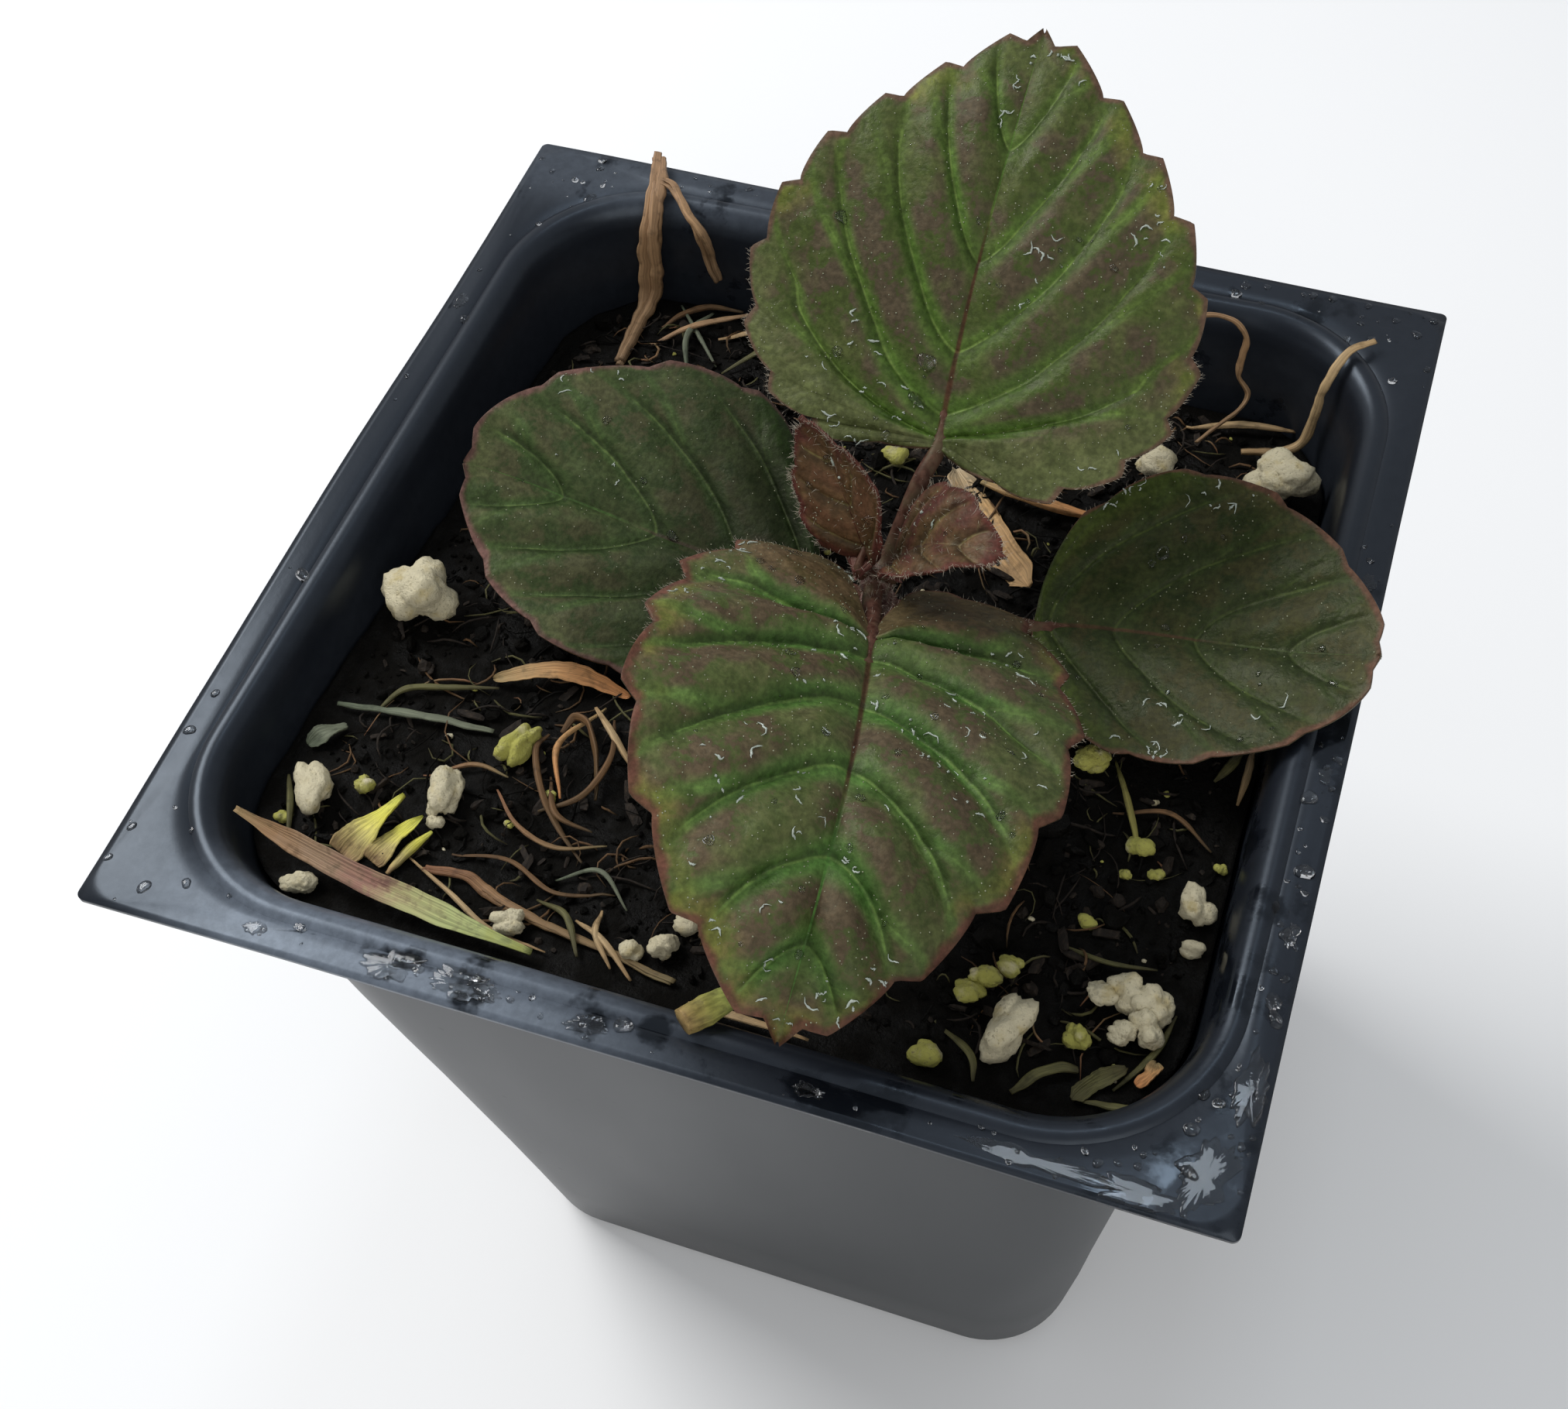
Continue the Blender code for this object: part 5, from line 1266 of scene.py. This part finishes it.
def rounded_square(half, radius, steps):
    """Points round a square with round corners. Steps gives how many a corner and a side have."""
    arcs = []
    for corner, (right, back) in enumerate(((1, 1), (-1, 1), (-1, -1), (1, -1))):
        angles = [math.radians(90 * (corner + k / steps[0])) for k in range(steps[0] + 1)]
        middle = (right * (half - radius), back * (half - radius))
        arcs.append([(middle[0] + radius * math.cos(a), middle[1] + radius * math.sin(a)) for a in angles])
    points = []
    for arc, after in zip(arcs, arcs[1:] + arcs[:1]):
        points += arc
        for k in range(1, steps[1]):
            share = k / steps[1]
            points.append(tuple(p + (q - p) * share for p, q in zip(arc[-1], after[0])))
    return points


def make_soil(materials):
    """The block of peat, rough on top, with crumbs and fibres on it."""
    def edge_at(z):
        half, radius = wall_at(z)
        return half - POT_SHEET - SOIL_GAP, radius - POT_SHEET - SOIL_GAP

    level = edge_at(POT_HEIGHT + SOIL_LEVEL)
    rim = []
    for x, y in rounded_square(*level, SOIL_STEPS):
        share = edge_at(POT_HEIGHT + soil_height(x, y))[0] / level[0]
        rim.append((x * share, y * share))
    foot, low = BASE_EDGE + POT_SHEET, POT_SHEET + SOIL_GAP
    half, radius = edge_at(foot)
    inset = rounded_square(half - SOIL_FOOT_INSET, radius - SOIL_FOOT_INSET, SOIL_STEPS)
    rings = [[(x, y, low) for x, y in inset],
             [(x, y, foot) for x, y in rounded_square(half, radius, SOIL_STEPS)]]
    for k in range(SOIL_RINGS, 0, -1):
        share = k / SOIL_RINGS
        rings.append([on_ground(x * share, y * share) for x, y in rim])
    pile = Pile()
    pile.add(sum(rings, []) + [(0, 0, low), on_ground(0, 0)], ring_faces(len(rings), len(rim)))
    pile.make("soil_fine", [materials["soil"]], ["soil"])
    scatter_crumbs(level[0] - SOIL_INSET, materials)
    scatter_fibres(level[0] - SOIL_INSET, materials)


def on_soil(rng, reach, inset=0.0):
    """A random place on the soil, inside its round corners."""
    while True:
        x, y = rng.uniform(-reach + inset, reach - inset, 2)
        off = math.hypot(max(abs(x) - reach + SOIL_CORNER, 0), max(abs(y) - reach + SOIL_CORNER, 0))
        if off < SOIL_CORNER - inset:
            return x, y


def scatter_crumbs(reach, materials):
    """Angular crumbs of peat of every size, and flat chips of bark."""
    rng = np.random.default_rng(SEEDS["crumbs"])
    lines = [smooth_line(kind["line"], 8)[:, :2] for kind in (*BLADES.values(), *STRAWS.values())]
    covered = np.concatenate(lines)
    pile = Pile()
    for number in range(CRUMBS):
        x, y = on_soil(rng, reach)
        if np.hypot(covered[:, 0] - x, covered[:, 1] - y).min() < LITTER_CLEARANCE:
            continue
        size = random_sizes(rng, *CRUMB_SIZES)
        base, faces = BALLS[2 if size > 0.4 else 1]
        lumpy = base * (1 + 0.5 * rough(base, 0.7, number))[:, None] * rng.uniform(0.5, 1.5, 3) * size
        shape = turned(lumpy, rng.uniform(0, FULL_TURN))
        pile.add(shape + on_ground(x, y, 0.1 * size), [faces], int(rng.uniform() < 0.15))
    pile.make("soil_crumbs", [materials["soil"], materials["chip"]], smooth=False)

    pile = Pile()
    base, faces = BALLS[2]
    squared = np.sign(base) * np.abs(base) ** 0.6
    for number in range(CHIPS):
        x, y = on_soil(rng, reach, 1.5)
        long = rng.uniform(0.8, 2.6)
        uneven = 1 + 0.35 * rough(base, 0.6, number + 0.5)
        shape = squared * uneven[:, None] * (long / 2, long * 0.16, long * 0.07)
        tilt = Matrix.Rotation(rng.uniform(0, FULL_TURN), 3, "Z")
        tilt = tilt @ Matrix.Rotation(rng.normal(scale=0.35), 3, "Y")
        tilt = tilt @ Matrix.Rotation(rng.normal(scale=0.5), 3, "X")
        pile.add(shape @ np.array(tilt).T + on_ground(x, y, 0.12 * long), [faces])
    pile.make("bark_chips", [materials["chip"]], smooth=False)


def scatter_fibres(reach, materials):
    """Fine dark roots and fibres, lying over the peat in gentle curves."""
    rng = np.random.default_rng(SEEDS["fibres"])
    taper = np.array((0.5, 1, 1, 1, 0.8, 0.4))
    pile = Pile()
    for _ in range(FIBRES):
        x, y = on_soil(rng, reach, 2.0)
        heading = rng.uniform(0, FULL_TURN)
        length = rng.uniform(1.0, 5.5) * (1.9 if rng.uniform() < 0.1 else 1.0)
        bend = rng.normal(scale=0.9)
        lift = rng.uniform(0.0, 0.8)
        line = []
        for k in range(6):
            share = k / 5 - 0.5
            angle = heading + bend * share
            place = (x + length * share * math.cos(angle), y + length * share * math.sin(angle))
            place = np.clip(place, -reach + 1, reach - 1)
            ground = on_ground(*place, 0.1)
            line.append((*ground[:2], ground[2] + lift * math.sin(math.pi * k / 5)))
        radii = taper * rng.uniform(0.04, 0.13)
        pile.add_tube(line, radii, 5, int(rng.choice(len(FIBRE_KINDS), p=list(FIBRE_KINDS.values()))))
    pile.make("soil_fibres", [materials[kind] for kind in FIBRE_KINDS])


def grain_shape(detail, rng, lobes, squash):
    """A popcorn-like grain: balls grown together round a middle, with a rough skin, of the size of squash."""
    ball, faces = BALLS[detail]
    centres = unit(rng.normal(size=(lobes, 3))) * rng.uniform(0.3, 0.62, (lobes, 1))
    sizes = rng.uniform(0.34, 0.66, lobes)
    reach = np.full(len(ball), 0.46)
    for centre, size in zip(centres, sizes):
        toward = ball @ centre
        inside = size**2 - centre @ centre + toward**2
        hit = np.where(inside > 0, toward + np.sqrt(np.maximum(inside, 0)), 0)
        reach = np.maximum(reach, hit)
    seed = rng.uniform(0, 9)
    reach = reach * (1 + 0.16 * rough(ball, 0.4, seed) + 0.09 * rough(ball, 0.16, seed + 1)
                     + 0.04 * rough(ball, 0.07, seed + 2))
    points = ball * reach[:, None]
    low, high = points.min(axis=0), points.max(axis=0)
    return (points - (low + high) / 2) / (high - low) * squash, faces


def box_middle(node):
    """The middle of the solid's box, in millimetres."""
    low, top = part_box(node)
    return (np.array(low) + np.array(top)) / 2 / MM


def make_grains(materials):
    """Every perlite grain: those that the solids have, then smaller ones."""
    for number, (x, y, long, broad, high, turn, yellow) in enumerate(GRAINS, start=1):
        node = f"perlite_{number:02d}"
        level = box_middle(node)[2] - 0.2
        rng = np.random.default_rng(number)
        pile = Pile()
        for lump_x, lump_y, size in LUMPS.get(node, ()):
            shape, faces = grain_shape(4, rng, 9, np.array((1.1, 0.95, 0.9)) * size)
            pile.add(shape + (lump_x, lump_y, level - 0.2), [faces])
        if node not in LUMPS:
            shape, faces = grain_shape(4, rng, 8, np.array((long, broad, high)))
            pile.add(turned(shape, math.radians(turn)) + (x, y, level), [faces])
        finish = "perlite_yellow" if yellow > 0.5 else "perlite_cream"
        pile.make(node + "_fine", [materials[finish]], [node])

    level = box_middle("perlite_joined")[2]
    pile = Pile()
    for number, (x, y, radius) in enumerate(JOINED_GRAIN):
        rng = np.random.default_rng(SEEDS["joined"] + number)
        shape, faces = grain_shape(4, rng, 9, np.array((2.3, 2.1, 2.0)) * radius)
        pile.add(shape + (x, y, level), [faces])
    pile.make("perlite_joined_fine", [materials["perlite_cream"]], ["perlite_joined"])

    pile = Pile()
    proportions = np.array((1.1, 0.9, 0.85))
    for number, (x, y, size, yellow) in enumerate(SMALL_GRAINS):
        rng = np.random.default_rng(SEEDS["small"] + number)
        shape, faces = grain_shape(3, rng, 6, proportions * size)
        pile.add(shape + on_ground(x, y, size * 0.3), [faces], int(yellow > 0.5))
    rng = np.random.default_rng(SEEDS["grit"])
    for _ in range(GRIT):
        x, y = rng.uniform(-35, 35, 2)
        size = rng.uniform(0.25, 0.7)
        shape, faces = grain_shape(2, rng, 5, proportions * size)
        pile.add(shape + on_ground(x, y, size * 0.3), [faces], int(rng.uniform() < 0.6))
    pile.make("perlite_small", [materials["perlite_cream"], materials["perlite_yellow"]])


def litter_line(points, steps, from_rim=False):
    """A smooth line of litter, from the base. Its points are given over the soil or from the rim."""
    line = smooth_line(points, steps)
    line[:, 2] = [POT_HEIGHT + z + (0.0 if from_rim else soil_height(x, y)) for x, y, z in line]
    return line


def lift_off_soil(line, gap):
    """Raises a line where it lies lower than gap over the rough soil."""
    line[:, 2] = np.maximum(line[:, 2], [on_ground(x, y, gap)[2] for x, y, _ in line])


def blade_profile(finish, share):
    """The width along a blade of litter, as a share of the full one."""
    if finish == "sliver":
        return rise(-0.3, 0.1, share) * (1 - share**2.6) + 0.05
    if finish in ("dull", "straw"):
        return 0.3 + 0.7 * rise(0.0, 0.12, share) * rise(1.0, 0.88, share)
    if finish == "grass":
        return 0.25 + 0.75 * rise(0.0, 0.3, share) * rise(1.02, 0.72, share)
    return 0.12 + 0.88 * np.sin(math.pi * share) ** 0.45


def make_flat_litter(materials):
    """Dry blades: ribbed along, folded along the middle, narrowing at their ends."""
    columns = np.linspace(-1, 1, 17)
    for number, (name, blade) in enumerate(BLADES.items()):
        line = litter_line(blade["line"], 60 // (len(blade["line"]) - 1), name in FROM_RIM)
        line[:, 2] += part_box(name)[0][2] / MM - line[:, 2].min() + SOLID_BLADE
        share = np.linspace(0, 1, len(line))
        ahead = unit(np.gradient(line, axis=0))
        flat_side = unit(np.stack((-ahead[:, 1], ahead[:, 0], 0 * share), axis=-1))
        roll = math.radians(blade["roll"]) + 0.5 * np.sin(5 * share + number)
        side = flat_side * np.cos(roll)[:, None] + np.cross(ahead, flat_side) * np.sin(roll)[:, None]
        up = upward(np.cross(ahead, side))
        half = blade["width"] / 2 * blade_profile(blade["finish"], share)
        ragged = 1 + 0.12 * rough(np.stack((share * 30, 0 * share, 0 * share), axis=-1), 2.0, number)
        reach = (half * ragged)[:, None] * columns[None, :]
        fold = -0.2 * (1 - np.abs(columns)) * blade["width"] / 2 + 0.03 * np.cos(columns * 19)
        top = line[:, None, :] + side[:, None, :] * reach[..., None] + up[:, None, :] * fold[None, :, None]
        thick = 0.10 + 0.14 * (1 - np.abs(columns) ** 3)
        bottom = top - up[:, None, :] * thick[None, :, None]
        if np.cross(top[1, 0] - top[0, 0], top[0, 1] - top[0, 0])[2] > 0:
            top, bottom = top[:, ::-1], bottom[:, ::-1]
        points, faces = closed_sheet(top, bottom)
        places = np.stack((share[:, None] + 0 * columns, columns + 0 * share[:, None], 0 * reach), axis=-1)
        pile = Pile()
        pile.add(points, faces, 0, np.concatenate((places.reshape(-1, 3),) * 2))
        pile.make(name + "_fine", [materials[blade["finish"]]], [name])


def make_straws(materials):
    """Round straws and twigs, ridged and slightly flattened."""
    for number, (name, straw) in enumerate(STRAWS.items()):
        line = litter_line(straw["line"], 12, name in FROM_RIM)
        line[:, 2] += max(0.0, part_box(name)[0][2] / MM - line[:, 2].min() + straw["radius"] * 0.5)
        if name not in FROM_RIM:
            lift_off_soil(line, straw["radius"] * 0.7)
        share = np.linspace(0, 1, len(line))
        line[:, :2] += 0.12 * np.stack([rough(line, 1.7, number + k) for k in (0.3, 5.1)], axis=-1)
        radii = straw["radius"] * (STRAW_END + (1 - STRAW_END) * np.sin(math.pi * share))
        radii = radii * (1 + 0.18 * rough(line, 1.4, number))
        pile = Pile()
        bundle = BUNDLES.get(name, 1)
        for strand in range(bundle):
            angle = 2 * math.pi * strand / bundle + 3.0 * share + number
            apart = 0.55 * (bundle > 1) * radii * (1 + 0.8 * rough(line, 5.0, strand + 9))
            aside = np.stack((np.cos(angle), np.sin(angle), 0.3 * np.sin(angle)), axis=-1)
            thick = radii / bundle**0.4 * (1 + 0.25 * rough(line, 1.1, number + 10 * strand))
            pile.add_tube(line + aside * apart[:, None], thick, 14, flat=0.5, ridges=0.25,
                          seed=number + strand)
        pile.make(name + "_fine", [materials[straw["finish"]]], [name])


def make_strands(materials):
    """The finer strands, in one piece."""
    kinds = sorted({finish for _, _, finish in STRANDS})
    pile = Pile()
    for number, (points, radius, finish) in enumerate(STRANDS):
        line = litter_line(points, 10)
        lift_off_soil(line, radius)
        share = np.linspace(0, 1, len(line))
        radii = radius * (0.35 + 0.65 * np.sin(math.pi * share)) * (1 + 0.2 * rough(line, 1.2, number))
        pile.add_tube(line, radii, 12, kinds.index(finish), flat=0.6, ridges=0.18, seed=number)
    pile.make("litter_strands", [materials[kind] for kind in kinds])


def make_rim_stub(materials):
    """The cut stub of a stalk on the front of the rim."""
    turn = math.radians(90 - RIM_STUB["turn"])
    shares = np.linspace(-0.5, 0.5, 24)
    ahead = np.array((math.cos(turn), math.sin(turn), -0.2))
    line = box_middle("rim_stub") + shares[:, None] * RIM_STUB["length"] * ahead
    radii = np.interp(shares, (-0.5, 0, 0.5), RIM_STUB["radii"]) * (1 + 0.08 * rough(line, 0.7))
    pile = Pile()
    pile.add_tube(line, radii, 22, flat=0.8, ridges=0.12, seed=5)
    pile.make("rim_stub_fine", [materials["stub"]], ["rim_stub"])


# Pot

def flange_wave(x, y):
    """How far the thin flange's edge lies off its plane: a slight wave, and a drooping front left corner."""
    wave = WAVE_X[0] * math.sin(x / WAVE_X[1]) + WAVE_Y[0] * math.cos(y / WAVE_Y[1])
    corner = math.hypot(x + FLANGE_SIDE / 2, y + FLANGE_SIDE / 2)
    return wave - DROOP * math.exp(-(corner / DROOP_REACH) ** 2)


def wetness(x, y):
    """How wet the rim is: most at the front right, least at the front left corner."""
    front = rise(-12.0, 22.0, x) * rise(-30.0, -38.0, y)
    right = rise(34.0, 39.0, x) * rise(30.0, 0.0, y)
    back = 0.6 * rise(34.0, 39.0, y)
    pools = [math.exp(-((x - there_x) ** 2 + (y - there_y) ** 2) / (long * broad))
             for there_x, there_y, long, broad, _ in PUDDLES]
    return DRY_RIM + 0.09 * max(front, right, back) + 0.16 * max(pools) * rise(30.0, 10.0, x)


def dust_and_glare(x, y, z):
    """How dusty the rim is, with painted bluish glare: most along the left of its front, and a little below
    the rim, which is painted light on the inner wall.
    """
    front = 0.85 * rise(9.0, -14.0, x) * rise(-42.0, -28.0, x) * rise(-36.0, -40.0, y)
    back = 0.25 * rise(10.0, -30.0, x) * rise(36.0, 40.0, y)
    return (0.05 + front + back) * rise(86.0, 88.2, z) + 0.10 * rise(88.2, 84.0, z)


def pot_profile():
    """Half side, corner radius and height of the outside, ring by ring, and the way out across each."""
    heights = [BASE_EDGE + (BODY_TOP_Z - BASE_EDGE) * k / WALL_RINGS for k in range(1, WALL_RINGS + 1)]
    rings = [(*BASE_MIDDLE, 0.0)]
    rings += [(BASE_HALF - inset, BASE_CORNER - inset, z) for inset, z in BASE_ROUND]
    rings += [(*wall_at(z), z) for z in heights]
    shoulder = [(half, half - BODY_TOP_HALF + BODY_TOP_CORNER, POT_HEIGHT - POT_SHEET - depth)
                for half, depth in SHOULDER]
    rings = np.concatenate((np.array(rings), smooth_line(shoulder, 4)))
    ahead = unit(np.gradient(rings[:, (0, 2)], axis=0))
    out = np.stack((ahead[:, 1], -ahead[:, 0]), axis=-1)
    out[0] = (0.0, -1.0)
    return list(zip(rings, out))


def pot_skin(profile, offset):
    """Rings of points with the profile moved inwards by offset, which depends on the height."""
    under = POT_HEIGHT - POT_SHEET
    rings = []
    for (half, radius, z), (across, down) in profile:
        shift = offset(z)
        square = rounded_square(half - across * shift, max(radius - across * shift, 0.3), POT_STEPS)
        rings.append([(x, y, z - down * shift) for x, y in square])
    start = np.array(rings[-1])
    end = np.array(rounded_square(FLANGE_SIDE / 2, FLANGE_CORNER, POT_STEPS))
    waves = np.array([flange_wave(x, y) for x, y in end])
    level = under + offset(under)
    for share in np.linspace(0, 1, FLANGE_RINGS + 1)[1:]:
        flat = start[:, :2] + (end - start[:, :2]) * share
        height = start[:, 2] + (level - start[:, 2]) * min(1.0, share * 4) + waves * share
        rings.append(np.column_stack((flat, height)))
    return np.array(rings)


def make_pot(materials):
    """The pot's shell, smooth round its mouth, with its four drain holes. Returns the rings of its inside."""
    profile = pot_profile()
    outer = pot_skin(profile, lambda z: (POT_SHEET - LIP_SHEET) * rise(80.0, 86.0, z))
    inner = pot_skin(profile, lambda z: POT_SHEET)
    dents = POT_DENT * rough(outer * (1, 1, 0.6), 11.0, 2) + 0.35 * POT_DENT * rough(outer, 4.0, 3)
    normals = np.zeros_like(outer)
    normals[..., :2] = unit(outer[..., :2])
    height = outer[..., 2]
    calm = (rise(3.0, 12.0, height) * rise(89.0, 80.0, height) * 3.0 + 0.4) * (height > 0.5)
    shift = normals * (dents * calm)[..., None]
    outer, inner = outer + shift, inner + shift
    both = np.concatenate((outer, inner[::-1]))
    points = np.concatenate((both.reshape(-1, 3), [(0, 0, 0), (0, 0, POT_SHEET)]))
    pile = Pile()
    pile.add(points, ring_faces(*both.shape[:2]))
    pot = pile.make("pot_fine", [materials["pot"]], ["pot"])
    cut_drains(pot)
    mark_pot(pot.data)
    return inner


def cut_drains(pot):
    """Cuts the four drain holes in the base."""
    bm = bmesh.new()
    for right in (-1, 1):
        for back in (-1, 1):
            place = Matrix.Translation((right * DRAIN_REACH * MM, back * DRAIN_REACH * MM, 0))
            bmesh.ops.create_cone(bm, cap_ends=True, segments=40, radius1=DRAIN_RADIUS * MM,
                                  radius2=DRAIN_RADIUS * MM, depth=DRAIN_CUT * MM, matrix=place)
    mesh = bpy.data.meshes.new("drains")
    bm.to_mesh(mesh)
    bm.free()
    drills = add_thing("drains", mesh)
    step = pot.modifiers.new("Boolean", "BOOLEAN")
    step.object = drills
    step.operation = "DIFFERENCE"
    step.solver = "EXACT"
    bpy.context.view_layer.update()
    cut = bpy.data.meshes.new_from_object(pot.evaluated_get(bpy.context.evaluated_depsgraph_get()))
    pot.modifiers.clear()
    pot.data = cut
    bpy.data.objects.remove(drills, do_unlink=True)


def mark_pot(mesh):
    """Marks each point with how wet it is, whether it is on the outside, and how hazy it is with dust and
    painted glare.
    """
    points, normals = np.zeros((2, len(mesh.vertices), 3))
    mesh.vertices.foreach_get("co", points.reshape(-1))
    mesh.vertices.foreach_get("normal", normals.reshape(-1))
    points = points / MM
    outer = (normals * (points * (1, 1, 0) - (0, 0, BODY_TOP_HALF))).sum(axis=1) > 0
    wet = [wetness(x, y) for x, y, _ in points]
    marks = np.stack((wet, rise(87.6, 86.4, points[:, 2]) * outer, dust_and_glare(*points.T)), axis=-1)
    mesh.attributes["place"].data.foreach_set("vector", marks.ravel())


def add_film(pile, place, long, broad, turn, rng):
    """A flat film of water with a ragged outline."""
    angle = np.linspace(0, 2 * math.pi, FILM_SIDES, endpoint=False)
    waves = ((2, 0.12), (3, 0.15), (5, 0.13), (7, 0.12), (11, 0.09), (16, 0.07), (23, 0.05))
    uneven = 1 + sum(rng.uniform(0.4, 1.0) * size * np.cos(n * angle + rng.uniform(0, FULL_TURN))
                     for n, size in waves)
    ahead = np.array((math.cos(turn), math.sin(turn), 0.0))
    side = np.array((-math.sin(turn), math.cos(turn), 0.0))
    reach = circle(ahead * long, side * broad, angle) * uneven[:, None]
    edge = FLANGE_SIDE / 2 - 0.25
    rings = []
    for share, height in ((1.0, -0.05), (1.0, 0.01), (0.96, 0.045), (0.86, 0.065), (0.5, 0.07), (0.2, 0.072)):
        ring = place + reach * share
        ring[:, :2] = np.clip(ring[:, :2], -edge, edge)
        ring[:, 2] = place[2] + height
        rings.append(ring)
    middles = [(place + (0, 0, height))[None] for height in (-0.05, 0.073)]
    pile.add(np.concatenate(rings + middles), ring_faces(len(rings), FILM_SIDES))


def make_pot_drops(inner, materials):
    """Water drops and flat films on the rim, whose rings are the last of the pot's inside."""
    rng = np.random.default_rng(SEEDS["drops"])
    rim = inner[-RIM_RINGS:]
    normals = upward(unit(np.cross(np.gradient(rim, axis=1), np.gradient(rim, axis=0))))
    wet = np.array([[wetness(x, y) for x, y, _ in row] for row in rim])
    weights = cell_areas(rim) * (0.3 + 9.0 * (wet - DRY_RIM)) * (normals[..., 2] > 0.75)
    weights[-1] = 0
    cells = pick_cells(rng, weights, POT_DROPS)
    places = rim[cells] + rng.normal(scale=(0.4, 0.4, 0.0), size=(POT_DROPS, 3))
    edge = FLANGE_SIDE / 2 - 0.7
    places[:, :2] = np.clip(places[:, :2], -edge, edge)
    sizes = random_sizes(rng, *POT_DROP_SIZES, POT_DROPS)
    drops = Pile()
    add_drops(drops, places, normals[cells], sizes, rng, POT_DROP_HEIGHTS)
    films = Pile()
    level = rim[LEVEL_RING:].reshape(-1, 3)
    for x, y, long, broad, turn in PUDDLES:
        nearest = level[np.argmin(np.hypot(level[:, 0] - x, level[:, 1] - y))]
        add_film(films, np.array((x, y, nearest[2])), long / 2, broad / 2, math.radians(turn), rng)
    drops.make("pot_drops", [materials["water"]])
    films.make("pot_puddles", [materials["water"]])


# Scene

def make_floor():
    """A wide pale floor."""
    mesh = bpy.data.meshes.new("floor")
    corners = [(right * FLOOR_HALF, back * FLOOR_HALF, FLOOR_LEVEL)
               for right, back in ((-1, -1), (1, -1), (1, 1), (-1, 1))]
    mesh.from_pydata(corners, [], [(0, 1, 2, 3)])
    mesh.materials.append(plain_material("floor", 400.0, FLOOR_COLOURS, Roughness=0.9))
    floor = add_thing("floor", mesh)


def add_light(name, place, size, power, colour):
    """A square soft light aimed at the plant."""
    data = bpy.data.lights.new(name, "AREA")
    data.size = size
    data.energy = power
    data.color = colour
    lamp = add_thing(name, data)
    lamp.location = place
    lamp.rotation_euler = (Vector(LIGHT_TARGET) - Vector(place)).to_track_quat("-Z", "Y").to_euler()


def set_scene():
    """Camera, soft studio light and plain colours."""
    data = bpy.data.cameras.new("camera")
    data.lens = CAMERA_LENS
    data.sensor_width = 36.0
    data.sensor_fit = "HORIZONTAL"
    data.shift_x, data.shift_y = CAMERA_SHIFT
    data.clip_start = 0.005
    data.clip_end = 50.0
    camera = add_thing("camera", data)
    turn = Matrix((CAMERA_RIGHT, CAMERA_UP, CAMERA_BACK)).transposed()
    camera.matrix_world = Matrix.Translation(CAMERA_PLACE) @ turn.to_4x4()
    bpy.context.scene.camera = camera
    world = bpy.data.worlds.new("studio")
    world.use_nodes = True
    sky = world.node_tree.nodes["Background"]
    sky.inputs["Color"].default_value = (0.93, 0.96, 1.0, 1.0)
    sky.inputs["Strength"].default_value = 0.5
    bpy.context.scene.world = world
    for name, light in LIGHTS.items():
        add_light(name, *light)
    bpy.context.scene.view_settings.view_transform = "Standard"


def main():
    set_scene()
    make_floor()
    materials = {kind: leaf_material("leaf_" + kind, tint) for kind, tint in LEAF_COLOURS.items()}
    for kind, colours in LITTER_COLOURS.items():
        materials[kind] = litter_material("litter_" + kind, colours)
    for kind, yellow in (("perlite_cream", 0.2), ("perlite_yellow", 1.0)):
        materials[kind] = perlite_material(kind, yellow)
    materials.update(
        stalk=stalk_material("petiole", (0.045, 0.016, 0.011), (0.090, 0.040, 0.028), (0.085, 0.065, 0.036)),
        stem=stalk_material("stem", (0.080, 0.036, 0.032), (0.190, 0.115, 0.100), (0.10, 0.11, 0.06)),
        hair=plain_material("hair", 1.5, ((0.30, 0.24, 0.17), (0.52, 0.47, 0.38)), Roughness=0.5),
        gland=plain_material("gland", 3.0, ((0.14, 0.15, 0.08), (0.36, 0.37, 0.25)), Roughness=0.25),
        # Streaks of water: real water, coloured pale as a painted highlight that stands for glints of light
        streak=plain_material("painted_glint_water", 1.0, ((0.30, 0.36, 0.28), (0.75, 0.80, 0.74)), Roughness=0.08,
                              IOR=WATER_IOR, Transmission_Weight=0.35),
        water=water_material(), soil=soil_material(), chip=chip_material(), pot=pot_material())
    for name, leaf in LEAVES.items():
        make_leaf(name, leaf, materials)
    make_stem(materials)
    make_soil(materials)
    make_grains(materials)
    make_flat_litter(materials)
    make_straws(materials)
    make_strands(materials)
    make_rim_stub(materials)
    inner = make_pot(materials)
    make_pot_drops(inner, materials)


main()
